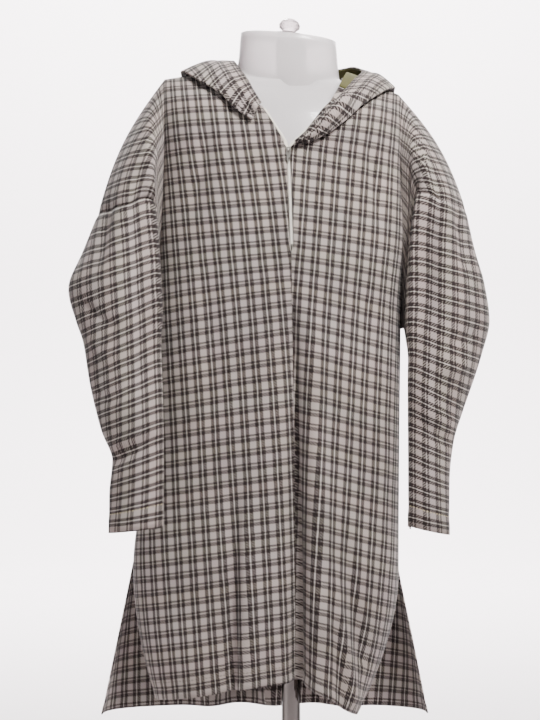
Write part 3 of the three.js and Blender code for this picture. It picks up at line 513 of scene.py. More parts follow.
def front_frame(side, x, z):
    along = front_at(side, x + 1, z) - front_at(side, x - 1, z)
    up = front_at(side, x, z + 1) - front_at(side, x, z - 1)
    return front_at(side, x, z), along.cross(up).normalized()


def zip_line_x(z):
    return lerp(ZIP["sliderX"], ZIP["endX"], (ZIP["sliderZ"] - z) / (ZIP["sliderZ"] - ZIP["endZ"]))


# ---- Cloth ----
def flat_of(points):
    """Lengths along a line of points, from its first."""
    lengths = [0.0]
    for a, b in zip(points, points[1:]):
        lengths.append(lengths[-1] + (b - a).length)
    return lengths


def reading(xs, ys):
    """A function that reads ys off at a value of xs, carried on in a straight line past the ends."""
    xs, ys = np.array(xs), np.array(ys)
    if xs[0] > xs[-1]:
        xs, ys = xs[::-1], ys[::-1]

    def at(x):
        if x < xs[0]:
            return ys[0] + (x - xs[0]) * (ys[1] - ys[0]) / (xs[1] - xs[0])
        if x > xs[-1]:
            return ys[-1] + (x - xs[-1]) * (ys[-1] - ys[-2]) / (xs[-1] - xs[-2])
        return float(np.interp(x, xs, ys))

    return at


def nothing(i, j):
    return 0.0


class Cloth:
    """Welded surfaces that several pieces share, with each corner's place on the flat cloth."""

    def __init__(self):
        self.points, self.arm, self.extra, self.known = [], [], [], {}
        self.faces, self.grids = [], {}

    def vertex(self, p, arm, extra):
        key = (round(p.x * 50), round(p.y * 50), round(p.z * 50))
        if key not in self.known:
            self.known[key] = len(self.points)
            self.points.append(p)
            self.arm.append(arm)
            self.extra.append(extra)
        return self.known[key]

    def patch(self, piece, rows, columns, at, flat, flip=False, arm=nothing, extra=nothing):
        """A grid of faces of one piece: rows and columns are lists of what at and flat take."""
        ids = [[self.vertex(at(i, j), arm(i, j), extra(i, j)) for j in columns] for i in rows]
        flats = [[flat(i, j) for j in columns] for i in rows]
        for i in range(len(rows) - 1):
            for j in range(len(columns) - 1):
                corners = [(i, j), (i + 1, j), (i + 1, j + 1), (i, j + 1)]
                if flip:
                    corners.reverse()
                face, uv = [], []
                for a, b in corners:
                    if ids[a][b] not in face:
                        face.append(ids[a][b])
                        uv.append(flats[a][b])
                if len(face) > 2:
                    self.faces.append((piece, face, uv))
        self.grids.setdefault(piece, []).append(ids)
        return ids

    def settle(self, creases):
        """Moves the points along the surface's own direction by the creases and by each point's extra."""
        self.places = np.array([p[:] for p in self.points])
        self.outward = self.directions()
        moves = np.array(self.extra, dtype=float)
        if creases:
            moves = moves + crease_field(self.places, self.outward, np.array(self.arm), creases)
        self.places = self.places + self.outward * moves[:, None]
        self.outward = self.directions()

    def directions(self):
        sums = np.zeros_like(self.places)
        for _, face, _ in self.faces:
            a, b, c = self.places[face[0]], self.places[face[1]], self.places[face[2]]
            normal = np.cross(b - a, c - a)
            if len(face) == 4:
                normal = normal + np.cross(c - a, self.places[face[3]] - a)
            for k in face:
                sums[k] += normal
        return sums / np.maximum(np.linalg.norm(sums, axis=1), 1e-9)[:, None]

    def build(self, name, piece, wall, material):
        faces = [(face, uv) for part, face, uv in self.faces if part == piece]
        used = sorted({k for face, _ in faces for k in face})
        place = {k: n for n, k in enumerate(used)}
        mesh = bpy.data.meshes.new(name)
        corners = [[place[k] for k in face] for face, _ in faces]
        mesh.from_pydata([tuple(self.places[k] * MM) for k in used], [], corners)
        layer = mesh.uv_layers.new(name="cut")
        flat = [v * MM for _, uv in faces for pair in uv for v in pair]
        layer.data.foreach_set("uv", flat)
        shell = mesh_object(name, mesh, material)
        solidify = shell.modifiers.new("wall", "SOLIDIFY")
        solidify.thickness = wall * MM
        solidify.offset = 0
        return shell

    def line(self, ids):
        """Places and outward directions along a line of points."""
        return [(Vector(self.places[k]), Vector(self.outward[k])) for k in ids]


CREASE_SHARE = 1.9  # how much of each crease's depth the cloth takes


def crease_field(places, outward, arm, creases):
    """How far each point moves for the creases, each a soft line in front view on one region."""
    total = np.zeros(len(places))
    facing = {"front": -outward[:, 1], "back": outward[:, 1]}
    share = {"body": 1 - np.abs(arm), "left": -arm, "right": arm, "all": np.ones(len(places))}
    flat = places[:, [0, 2]]
    for crease in creases:
        line = np.array(crease["line"], dtype=float)
        spans = np.linalg.norm(line[1:] - line[:-1], axis=1)
        nearest, at, done = np.full(len(places), 1e9), np.zeros(len(places)), 0.0
        for start, end, span in zip(line, line[1:], spans):
            t = np.clip((flat - start) @ (end - start) / span**2, 0, 1)
            away = np.linalg.norm(flat - (start + t[:, None] * (end - start)), axis=1)
            closer = away < nearest
            nearest = np.where(closer, away, nearest)
            at = np.where(closer, (done + t * span) / spans.sum(), at)
            done += span
        face = np.clip((facing[crease["side"]] - 0.05) / 0.3, 0, 1)
        ends = np.clip(at / crease["fade"], 0, 1)
        if not crease["open"]:
            ends = ends * np.clip((1 - at) / crease["fade"], 0, 1)
        ends = ends * ends * (3 - 2 * ends)
        reach = crease["width"] * (0.7 + 0.6 * at)
        shape = np.exp(-((nearest / reach) ** 2)) * ends * face
        total += CREASE_SHARE * crease["depth"] * shape * np.clip(share[crease["region"]], 0, 1)
    return total


# ---- Making objects ----
def mesh_object(name, mesh, material, smooth_faces=True):
    mesh.materials.append(bpy.data.materials[material])
    for polygon in mesh.polygons:
        polygon.use_smooth = smooth_faces
    made = bpy.data.objects.new(name, mesh)
    bpy.context.scene.collection.objects.link(made)
    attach(made, STAND)
    return made


def object_from(name, vertices, faces, material, smooth_faces=True):
    """An object from places in millimetres."""
    mesh = bpy.data.meshes.new(name)
    mesh.from_pydata([tuple(Vector(v) * MM) for v in vertices], [], faces)
    return mesh_object(name, mesh, material, smooth_faces)


def dashes(line, length, gap, width, height, lift, wander=0.0):
    """Stitches: short rounded threads along a line of places and outward directions."""
    lengths = flat_of([p for p, _ in line])
    vertices, faces = [], []
    at = gap
    number = 0
    while at + length < lengths[-1]:
        middle = at + length / 2
        k = max(0, int(np.searchsorted(lengths, middle)) - 1)
        f = (middle - lengths[k]) / max(lengths[k + 1] - lengths[k], 1e-6)
        here = line[k][0].lerp(line[k + 1][0], f)
        out = line[k][1].lerp(line[k + 1][1], f).normalized()
        along = (line[k + 1][0] - line[k][0]).normalized()
        across = out.cross(along).normalized()
        along = (along + across * wander * math.sin(number * 2.4)).normalized()
        across = out.cross(along).normalized()
        base = len(vertices)
        for step, size in ((-0.5, 0.35), (-0.3, 1.0), (0.3, 1.0), (0.5, 0.35)):
            for angle in range(6):
                c, s = math.cos(angle * math.pi / 3), math.sin(angle * math.pi / 3)
                offset = across * (c * width / 2 * size) + out * (lift + s * height / 2 * size)
                vertices.append(here + along * (step * length) + offset)
        for ring in range(3):
            for angle in range(6):
                a = base + ring * 6 + angle
                b = base + ring * 6 + (angle + 1) % 6
                faces.append([a, b, b + 6, a + 6])
        faces.append([base + k for k in reversed(range(6))])
        faces.append([base + 18 + k for k in range(6)])
        at += length + gap
        number += 1
    return vertices, faces


def joined(parts):
    vertices, faces = [], []
    for part_vertices, part_faces in parts:
        base = len(vertices)
        vertices += part_vertices
        faces += [[k + base for k in face] for face in part_faces]
    return vertices, faces


# ---- Shader node groups ----
class Graph:
    """Short names for the nodes of a group: each value is a socket or a number."""

    def __init__(self, name, inputs, outputs):
        self.tree = bpy.data.node_groups.new(name, "ShaderNodeTree")
        for label, kind, default in inputs:
            entry = self.tree.interface.new_socket(label, in_out="INPUT", socket_type="NodeSocket" + kind)
            if default is not None:
                entry.default_value = default
        for label, kind in outputs:
            self.tree.interface.new_socket(label, in_out="OUTPUT", socket_type="NodeSocket" + kind)
        self.given = self.tree.nodes.new("NodeGroupInput").outputs
        self.result = self.tree.nodes.new("NodeGroupOutput").inputs

    def link(self, value, socket):
        if isinstance(value, bpy.types.NodeSocket):
            self.tree.links.new(value, socket)
        else:
            socket.default_value = value

    def node(self, kind, values, **settings):
        made = self.tree.nodes.new("ShaderNode" + kind)
        for name, value in settings.items():
            setattr(made, name, value)
        for key, value in values.items():
            self.link(value, made.inputs[key])
        return made

    def math(self, operation, *values, clamped=False):
        made = self.node("Math", dict(enumerate(values)), operation=operation, use_clamp=clamped)
        return made.outputs[0]

    def map_range(self, value, low, high, **ends):
        limits = {"Value": value, "From Min": low, "From Max": high}
        limits.update({key.replace("_", " "): end for key, end in ends.items()})
        return self.node("MapRange", limits).outputs[0]

    def band(self, phase, low, high, soft=0.012):
        """1 where the phase lies between low and high."""
        sides = []
        for edge in (low, high):
            limits = {"Value": phase, "From Min": edge - soft, "From Max": edge + soft}
            sides.append(self.node("MapRange", limits, interpolation_type="SMOOTHSTEP").outputs[0])
        return self.math("SUBTRACT", *sides, clamped=True)

    def shade(self, colour, value):
        """Sends a colour, made lighter or darker by a factor, to the group's output."""
        made = self.node("HueSaturation", {"Value": value, "Color": colour, "Fac": 1.0})
        self.link(made.outputs[0], self.result["Color"])

    def mix(self, share, a, b):
        made = self.tree.nodes.new("ShaderNodeMix")
        made.data_type = "RGBA"
        colours = [socket for socket in made.inputs if socket.type == "RGBA"]
        self.link(share, made.inputs[0])
        self.link(a, colours[0])
        self.link(b, colours[1])
        return next(socket for socket in made.outputs if socket.type == "RGBA")

    def noise(self, place, scale, detail=2.0, roughness=0.5, size="3D", key="Vector"):
        made = self.node("TexNoise", {}, noise_dimensions=size)
        self.link(place, made.inputs[key])
        for name, value in (("Scale", scale), ("Detail", detail), ("Roughness", roughness)):
            made.inputs[name].default_value = value
        return made.outputs


def srgb(red, green, blue):
    """A colour given the way a swatch is read, as the linear values a shader takes."""
    values = (red / 255, green / 255, blue / 255)
    linear = [c / 12.92 if c <= 0.04045 else ((c + 0.055) / 1.055) ** 2.4 for c in values]
    return (*linear, 1.0)


def yarn_tint(graph, number, seed):
    """A pale colour of its own for each stripe's number."""
    shifted = graph.math("ADD", number, seed)
    noise = graph.node("TexWhiteNoise", {}, noise_dimensions="1D")
    graph.link(shifted, noise.inputs["W"])
    hue = graph.node("HueSaturation", {"Hue": noise.outputs["Value"], "Color": srgb(172, 142, 130)})
    return hue.outputs[0]


def make_check_group(weave):
    """The check tweed: warp stripes across U, weft stripes across V, both in metres on the flat cloth."""
    outputs = [("Color", "Color"), ("Height", "Float"), ("Roughness", "Float")]
    graph = Graph("check tweed", [("Flat", "Vector", None)], outputs)
    waver = graph.noise(graph.given["Flat"], 42.0, 1.5)
    wobble = graph.node("VectorMath", {0: waver["Color"], 1: (0.5, 0.5, 0.5)}, operation="SUBTRACT")
    scaled = graph.node("VectorMath", {0: wobble.outputs[0], 1: (0.0014, 0.0014, 0)}, operation="MULTIPLY")
    moved = graph.node("VectorMath", {0: graph.given["Flat"], 1: scaled.outputs[0]}, operation="ADD")
    apart = graph.node("SeparateXYZ", {0: moved.outputs[0]})
    warp = graph.math("DIVIDE", apart.outputs[0], weave.warp_repeat)
    weft = graph.math("DIVIDE", apart.outputs[1], weave.weft_repeat)
    warp_phase, weft_phase = graph.math("FRACT", warp), graph.math("FRACT", weft)
    warp_number, weft_number = graph.math("FLOOR", warp), graph.math("FLOOR", weft)

    # Each yarn's own colour
    dark = srgb(38, 31, 31)
    warp_pale = graph.mix(0.05, srgb(170, 158, 152), yarn_tint(graph, warp_number, 3.0))
    weft_pale = graph.mix(0.08, srgb(157, 145, 138), yarn_tint(graph, weft_number, 11.0))
    warp_bands = graph.band(warp_phase, 0.0, 0.255), graph.band(warp_phase, 0.335, 0.59)
    weft_bands = graph.band(weft_phase, 0.0, 0.29), graph.band(weft_phase, 0.37, 0.53)
    warp_dark = graph.math("ADD", *warp_bands, clamped=True)
    weft_dark = graph.math("ADD", *weft_bands, clamped=True)
    warp_line = graph.band(warp_phase, 0.266, 0.322)
    warp_colour = graph.mix(warp_line, graph.mix(warp_dark, warp_pale, dark), srgb(198, 190, 182))
    weft_colour = graph.mix(weft_dark, weft_pale, dark)

    # The twill: warp on top along fine diagonals
    lean = graph.math("ADD", apart.outputs[0], apart.outputs[1])
    diagonal = graph.math("FRACT", graph.math("DIVIDE", lean, weave.twill))
    over = graph.band(diagonal, 0.22, 0.74, 0.12)
    over = graph.math("MAXIMUM", over, graph.math("MULTIPLY", warp_line, 0.5))
    woven = graph.mix(over, weft_colour, warp_colour)

    # Uneven yarn: flecks, and a slow change of tone over the cloth
    fleck = graph.noise(graph.given["Flat"], 700.0, 2.5, 0.6)["Fac"]
    flecked = graph.mix(graph.map_range(fleck, 0.54, 0.78, To_Max=0.3), woven, srgb(128, 118, 113))
    slow = graph.noise(graph.given["Flat"], 9.0, 3.0)["Fac"]
    tone = graph.map_range(slow, 0.3, 0.7, To_Min=0.86, To_Max=1.1)
    crossing = graph.math("ABSOLUTE", graph.math("SUBTRACT", warp_dark, weft_dark))
    deep = graph.math("MULTIPLY_ADD", crossing, -0.4, 1.0)
    graph.shade(flecked, graph.math("MULTIPLY", tone, deep))

    nap = graph.noise(graph.given["Flat"], 1500.0, 2.0)["Fac"]
    height = graph.math("ADD", graph.math("MULTIPLY", over, 0.45), graph.math("MULTIPLY", nap, 0.5))
    graph.link(height, graph.result["Height"])
    graph.link(graph.map_range(fleck, 0.0, 1.0, To_Min=0.82, To_Max=0.98), graph.result["Roughness"])
    return graph.tree


def make_plain_weave_group():
    """A plain weave of fine yarns, tinted by the colour it is given, with painted highlight on the raised
    crossings.
    """
    graph = Graph(
        "plain weave",
        [("Flat", "Vector", None), ("Yarn", "Color", (0.5, 0.5, 0.5, 1)), ("Pitch", "Float", 0.0006)],
        [("Color", "Color"), ("Height", "Float")],
    )
    apart = graph.node("SeparateXYZ", {0: graph.given["Flat"]})
    waves = []
    for axis in (0, 1):
        turns = graph.math("DIVIDE", apart.outputs[axis], graph.given["Pitch"])
        waves.append(graph.math("SINE", graph.math("MULTIPLY", turns, 2 * math.pi)))
    height = graph.math("MULTIPLY_ADD", graph.math("MULTIPLY", waves[0], waves[1]), 0.5, 0.5)
    tone = graph.noise(graph.given["Flat"], 60.0, 3.0)["Fac"]
    value = graph.math("MULTIPLY_ADD", tone, 0.5, 0.72)
    # painted highlight: the colour turns lighter where the weave's crossings stand highest
    value = graph.math("MULTIPLY_ADD", height, 0.14, value)
    graph.shade(graph.given["Yarn"], value)
    graph.link(height, graph.result["Height"])
    return graph.tree


def make_wear_group():
    """Handled plastic and metal: a slow change of tone, fine scuffs and a slight waviness."""
    graph = Graph(
        "handled surface",
        [
            ("Base", "Color", (0.8, 0.8, 0.8, 1)),
            ("Gloss", "Float", 0.3),
            ("Uneven", "Float", 0.1),
            ("Size", "Float", 40.0),
        ],
        [("Color", "Color"), ("Roughness", "Float"), ("Height", "Float")],
    )
    place = graph.node("TexCoord", {}).outputs["Object"]
    broad = graph.node("TexNoise", {"Vector": place, "Scale": graph.given["Size"], "Detail": 3.0})
    fine = graph.noise(place, 420.0, 3.0)["Fac"]
    shift = graph.math("SUBTRACT", broad.outputs["Fac"], 0.5)
    value = graph.math("MULTIPLY_ADD", shift, graph.math("MULTIPLY", graph.given["Uneven"], 2.0), 1.0)
    graph.shade(graph.given["Base"], value)
    scuff = graph.math("MULTIPLY", graph.math("SUBTRACT", fine, 0.5), graph.given["Uneven"])
    graph.link(graph.math("ADD", graph.given["Gloss"], scuff, clamped=True), graph.result["Roughness"])
    graph.link(broad.outputs["Fac"], graph.result["Height"])
    return graph.tree


# ---- Materials ----
def new_material(name, **constants):
    material = bpy.data.materials.new(name)
    material.use_nodes = True
    nodes = material.node_tree.nodes
    shader = nodes["Principled BSDF"]
    for label, value in constants.items():
        shader.inputs[label.replace("_", " ")].default_value = value
    return nodes, material.node_tree.links, shader


def add_group(nodes, tree, **values):
    group = nodes.new("ShaderNodeGroup")
    group.node_tree = tree
    for label, value in values.items():
        group.inputs[label].default_value = value
    return group


def add_bump(nodes, links, shader, height, strength, distance):
    bump = nodes.new("ShaderNodeBump")
    bump.inputs["Strength"].default_value = strength
    bump.inputs["Distance"].default_value = distance
    links.new(height, bump.inputs["Height"])
    links.new(bump.outputs["Normal"], shader.inputs["Normal"])


def make_cloth_material(name, tree, yarn, bump, **constants):
    """A cloth that reads its weave off the flat cut; bump is the strength and the height of the yarns."""
    nodes, links, shader = new_material(name, **constants)
    flat = nodes.new("ShaderNodeUVMap")
    flat.uv_map = "cut"
    group = add_group(nodes, tree, **yarn)
    links.new(flat.outputs["UV"], group.inputs["Flat"])
    links.new(group.outputs["Color"], shader.inputs["Base Color"])
    if "Roughness" in group.outputs:
        links.new(group.outputs["Roughness"], shader.inputs["Roughness"])
    add_bump(nodes, links, shader, group.outputs["Height"], *bump)


def make_handled(name, tree, colour, gloss, uneven=0.1, size=40.0, bump=0.1, **constants):
    nodes, links, shader = new_material(name, **constants)
    group = add_group(nodes, tree, Base=colour, Gloss=gloss, Uneven=uneven, Size=size)
    links.new(group.outputs["Color"], shader.inputs["Base Color"])
    links.new(group.outputs["Roughness"], shader.inputs["Roughness"])
    add_bump(nodes, links, shader, group.outputs["Height"], bump, 0.0008)


def paint_edge_reflection(name, dark):
    """Paints a dark reflection into polished metal's colour towards its edges, as round metal mirrors the room
    beside it.
    """
    tree = bpy.data.materials[name].node_tree
    nodes, links = tree.nodes, tree.links
    shader = nodes["Principled BSDF"]
    facing = nodes.new("ShaderNodeLayerWeight")
    facing.inputs["Blend"].default_value = 0.5
    edge = nodes.new("ShaderNodeMapRange")
    edge.interpolation_type = "SMOOTHSTEP"
    edge.inputs["From Min"].default_value = 0.14
    edge.inputs["From Max"].default_value = 0.42
    # painted reflection: a dark colour mixed into the base colour where the surface turns away from view
    mix = nodes.new("ShaderNodeMix")
    mix.data_type = "RGBA"
    colours = [socket for socket in mix.inputs if socket.type == "RGBA"]
    links.new(shader.inputs["Base Color"].links[0].from_socket, colours[0])
    colours[1].default_value = dark
    links.new(facing.outputs["Facing"], edge.inputs["Value"])
    links.new(edge.outputs[0], mix.inputs[0])
    links.new(next(socket for socket in mix.outputs if socket.type == "RGBA"), shader.inputs["Base Color"])


def make_materials(weave):
    check = make_check_group(weave)
    plain = make_plain_weave_group()
    wear = make_wear_group()
    soft = {"Sheen_Weight": 0.12, "Sheen_Roughness": 0.5, "Specular_IOR_Level": 0.15}
    make_cloth_material("check tweed", check, {}, (0.7, 0.0006), **soft)
    for name, colour, pitch in (
        ("olive lining", srgb(78, 75, 40), 0.0007),
        ("zip tape", srgb(226, 219, 205), 0.0008),
    ):
        make_cloth_material(name, plain, {"Yarn": colour, "Pitch": pitch}, (0.5, 0.0003), Roughness=0.85)
    make_handled("cream teeth", wear, srgb(236, 231, 220), 0.4, 0.08)
    make_handled("zip metal", wear, srgb(190, 186, 178), 0.3, 0.2, 300.0, Metallic=1.0)
    make_handled("cream thread", wear, srgb(205, 190, 150), 0.8, 0.2, 900.0)
    make_handled("dark thread", wear, srgb(62, 54, 52), 0.8, 0.2, 900.0)
    frosted = {"Transmission_Weight": 0.55, "IOR": 1.3, "Coat_Weight": 0.35, "Coat_Roughness": 0.08}
    make_handled("frosted plastic", wear, srgb(252, 246, 247), 0.3, 0.08, 26.0, 0.05, **frosted)
    clear = {"Transmission_Weight": 0.8, "IOR": 1.49}
    make_handled("clear plastic", wear, srgb(226, 216, 217), 0.1, 0.06, 60.0, 0.5, **clear)
    make_handled("socket plastic", wear, srgb(196, 182, 182), 0.4, 0.1)
    make_handled("chrome", wear, srgb(150, 145, 141), 0.1, 0.05, 30.0, 0.03, Metallic=1.0)
    # painted reflection: the chrome's colour darkens towards its edges
    paint_edge_reflection("chrome", srgb(52, 49, 47))
    make_handled("backdrop", wear, srgb(238, 231, 233), 0.95, 0.02, 2.0, 0.02)


# ---- Settings shown in the panel ----
class ClothSettings(bpy.types.PropertyGroup):
    hem: bpy.props.FloatProperty(
        name="Hem depth", description="Height of the turned-up hem",
        default=0.018, unit="LENGTH", subtype="DISTANCE",
    )
    cuff: bpy.props.FloatProperty(
        name="Cuff depth", description="Height of the turned-up cuff",
        default=0.028, unit="LENGTH", subtype="DISTANCE",
    )
    ply: bpy.props.FloatProperty(
        name="Turned cloth", description="How far a doubled layer stands out",
        default=0.0007, unit="LENGTH", subtype="DISTANCE",
    )
    groove: bpy.props.FloatProperty(
        name="Seam depth", description="How deep a seam or a row of stitches pulls in",
        default=0.0012, unit="LENGTH", subtype="DISTANCE",
    )
    stitch: bpy.props.FloatProperty(
        name="Stitch length", description="Length of one stitch of the hem",
        default=0.0034, unit="LENGTH", subtype="DISTANCE",
    )


class WeaveSettings(bpy.types.PropertyGroup):
    warp_repeat: bpy.props.FloatProperty(
        name="Warp repeat", description="Width of one check",
        default=0.022, unit="LENGTH", subtype="DISTANCE",
    )
    weft_repeat: bpy.props.FloatProperty(
        name="Weft repeat", description="Height of one check",
        default=0.021, unit="LENGTH", subtype="DISTANCE",
    )
    twill: bpy.props.FloatProperty(
        name="Twill line", description="Distance between the twill's diagonals",
        default=0.004, unit="LENGTH", subtype="DISTANCE",
    )


class ZipSettings(bpy.types.PropertyGroup):
    pitch: bpy.props.FloatProperty(
        name="Tooth pitch", description="Distance between two teeth of one side",
        default=0.0028, unit="LENGTH", subtype="DISTANCE",
    )
    tooth: bpy.props.FloatProperty(
        name="Tooth width", description="How far a tooth reaches from its tape",
        default=0.0026, unit="LENGTH", subtype="DISTANCE",
    )


class StudioSettings(bpy.types.PropertyGroup):
    distance: bpy.props.FloatProperty(
        name="Camera distance", description="From the camera to the middle of the stand",
        default=3.0, unit="LENGTH", subtype="DISTANCE",
    )
    height: bpy.props.FloatProperty(
        name="Camera height", description="Height of the level camera",
        default=0.8385, unit="LENGTH", subtype="DISTANCE",
    )
    aside: bpy.props.FloatProperty(
        name="Camera offset", description="How far the camera stands to one side",
        default=-0.0315, unit="LENGTH", subtype="DISTANCE",
    )


# ---- The garment ----
# How the cloth's threads run on each half: warps lean in on the way down, wefts fall towards the side
GRAIN = {-1: {"lean": 0.13, "top": 0.13, "hem": 0.02}, 1: {"lean": 0.05, "top": 0.05, "hem": 0.0}}

LEAN_REACH = 300  # below the chest the lean dies out over this length
WEB_TUCK = 0.4  # share of an extension's width that lies gathered in the web beside the arm


def steps(count):
    return [k / FINE for k in range(count * FINE + 1)]


def panel_flat(panel, side):
    """The flat place of a point of a panel at u and row."""
    us = [u / HALF_COLUMNS for u in steps(HALF_COLUMNS)]
    rows = steps(HEM_ROW)
    across = {row: flat_of([panel_point(panel, side, u, row) for u in us]) for row in rows}
    chest = [panel_point(panel, side, u, ARCH_ROW) for u in us]
    by_x = reading([p.x for p in chest], across[ARCH_ROW])
    down = flat_of([panel_point(panel, side, 0.5, row) for row in rows if row >= ARCH_ROW])
    up = {}
    low_rows = [row for row in reversed(rows) if row <= ARCH_ROW]
    for k, u in enumerate(us):
        lengths = flat_of([panel_point(panel, side, u, row) for row in low_rows])
        up[k] = dict(zip(low_rows, lengths))
    first = ARCH_ROW * FINE
    grain = GRAIN[panel["face"]]

    def flat(u, row):
        k = round(u * HALF_COLUMNS * FINE)
        if row >= ARCH_ROW:
            s, t = across[row][k], -down[round(row * FINE) - first]
        else:
            s, t = by_x(panel_point(panel, side, u, row).x), up[k][row]
        lean = -t if t > 0 else LEAN_REACH * (1 - math.exp(t / LEAN_REACH))
        fall = lerp(grain["top"], grain["hem"], row / HEM_ROW)
        return side * (s + grain["lean"] * lean), t + s * fall

    return flat


def turn_of(row):
    """The turn of a sleeve's ring that meets a row of the panels."""
    return 6 * row / UNDERARM_ROW


STITCH_PULL = 2.2  # how far beside a row of stitches the cloth is pulled in


def turned_edge(above, depth, ply, groove):
    """How far a turned-up edge stands out, this high above it, with the row of stitches that holds it."""
    return (ply if above < depth else 0.0) - groove * math.exp(-(((above - depth) / STITCH_PULL) ** 2))


def seam_ring(side, ring):
    """Lengths round a sleeve from its ridge over the top to the back, by ring turn from -6 to 6."""
    turns = [k / 10 for k in range(-60, 61)]
    points = [sleeve_point(side, ring, abs(turn), -1 if turn >= 0 else 1) for turn in turns]
    lengths = flat_of(points)
    return reading(turns, [value - lengths[90] for value in lengths])


def extension_flat(panel, side, flat):
    """The flat place of a point of an extension, by lengths along its rows and down its columns."""
    rows, columns = steps(UNDERARM_ROW), steps(SEAM_RINGS)
    grid = [[extension_point(panel, side, w / SEAM_RINGS, row) for w in columns] for row in rows]
    across = [flat_of(line) for line in grid]
    downs = [flat_of([line[k] for line in grid]) for k in range(len(columns))]
    first = ARCH_ROW * FINE

    def at(w, row):
        s, t = flat(1, row)
        s = lerp(s, flat(1, ARCH_ROW)[0], w)
        i, k = round(row * FINE), round(w * SEAM_RINGS * FINE)
        whole = across[0][-1]
        tucked = WEB_TUCK * whole * smooth(w, 0, 0.3) + (1 - WEB_TUCK) * whole * w
        longer = (downs[k][i] - downs[k][first]) - (downs[0][i] - downs[0][first])
        return s + side * lerp(across[0][k], tucked, smooth(row, 0, ARCH_ROW)), t - longer

    at.width = across[0][-1]
    return at


def sleeve_flat(side, start):
    rings = [k / FINE / SLEEVE_RINGS for k in range(SLEEVE_RINGS * FINE + 1)]
    down = flat_of([sleeve_point(side, ring, 3, -1) for ring in rings])
    rounds = [seam_ring(side, ring) for ring in rings]

    def at(ring, turn):
        k = round(ring * SLEEVE_RINGS * FINE)
        return side * (start + down[k]), -rounds[k](turn)

    at.length = down[-1]
    return at


def beside_zip(panel, side, j, row):
    """A point of a panel; the front's halves stand apart where the closed chain shows."""
    here = panel_point(panel, side, j / HALF_COLUMNS, row)
    if panel is FRONT and j < 1 and here.z < ZIP["sliderZ"] + 8:
        open_here = smooth(here.z, ZIP["endZ"] - 1, ZIP["endZ"] + 4)
        here.x += side * ZIP_SLOT / 2 * open_here * (1 - j)
    return here


def make_garment_cloth(settings):
    """The welded front, back and sleeves with their places on the flat cloth."""
    cloth = Cloth()
    ply, groove = settings.ply / MM, settings.groove / MM
    hem, cuff = settings.hem / MM, settings.cuff / MM
    us = steps(HALF_COLUMNS)
    cuts = {}
    for name, panel in (("front_panel", FRONT), ("back_panel", BACK)):
        for side in (-1, 1):
            flat = panel_flat(panel, side)
            bottom = flat(0.5, HEM_ROW)[1]
            flip = side * panel["face"] > 0

            def edge_work(i, j, flat=flat, bottom=bottom):
                above = flat(0.5, i)[1] - bottom if i >= ARCH_ROW else 99
                return turned_edge(above, hem, ply, groove)

            cloth.patch(
                name, steps(HEM_ROW), us,
                lambda i, j, p=panel, s=side: beside_zip(p, s, j, i),
                lambda i, j, f=flat: f(j / HALF_COLUMNS, i),
                flip, extra=edge_work,
            )
            wide = extension_flat(panel, side, flat)
            cloth.patch(
                name, steps(UNDERARM_ROW), steps(SEAM_RINGS),
                lambda i, j, p=panel, s=side: extension_point(p, s, j / SEAM_RINGS, i),
                lambda i, j, f=wide: f(j / SEAM_RINGS, i),
                flip,
                arm=lambda i, j, s=side: s * smooth(j / SEAM_RINGS, 0.0, 0.6),
                extra=lambda i, j: -groove if j == SEAM_RINGS else 0.0,
            )
            cuts[name, side] = (flat, wide)
    for side in (-1, 1):
        flat, wide = cuts["front_panel", side]
        start = abs(flat(1, ARCH_ROW)[0]) + wide.width
        along = sleeve_flat(side, start)

        def sleeve_work(i, j, along=along, start=start):
            above = along.length - (abs(along(i / SLEEVE_RINGS, 3)[0]) - start)
            return turned_edge(above, cuff, ply, groove)

        for turns in (steps(UNDERARM_ROW), [j - UNDERARM_ROW for j in steps(UNDERARM_ROW)]):
            face = -1 if turns[-1] > 0 else 1
            cloth.patch(
                "sleeve_" + side_name(side), steps(SLEEVE_RINGS), turns,
                lambda i, j, s=side, f=face: sleeve_point(s, i / SLEEVE_RINGS, turn_of(abs(j)), f),
                lambda i, j, f=along: f(i / SLEEVE_RINGS, turn_of(j)),
                side > 0,
                arm=lambda i, j, s=side: float(s),
                extra=sleeve_work,
            )
        cuts["sleeve", side] = along
    cloth.cuts = cuts
    return cloth

# ---- Creases of the worn cloth ----
def creases(region, side, *rows):
    """Rows of how far each stands out, half its width, its fade, an open low end, and x and z in front view."""
    names = ("depth", "width", "fade", "open")
    return [{"region": region, "side": side, **dict(zip(names, row)), "line": row[4:]} for row in rows]


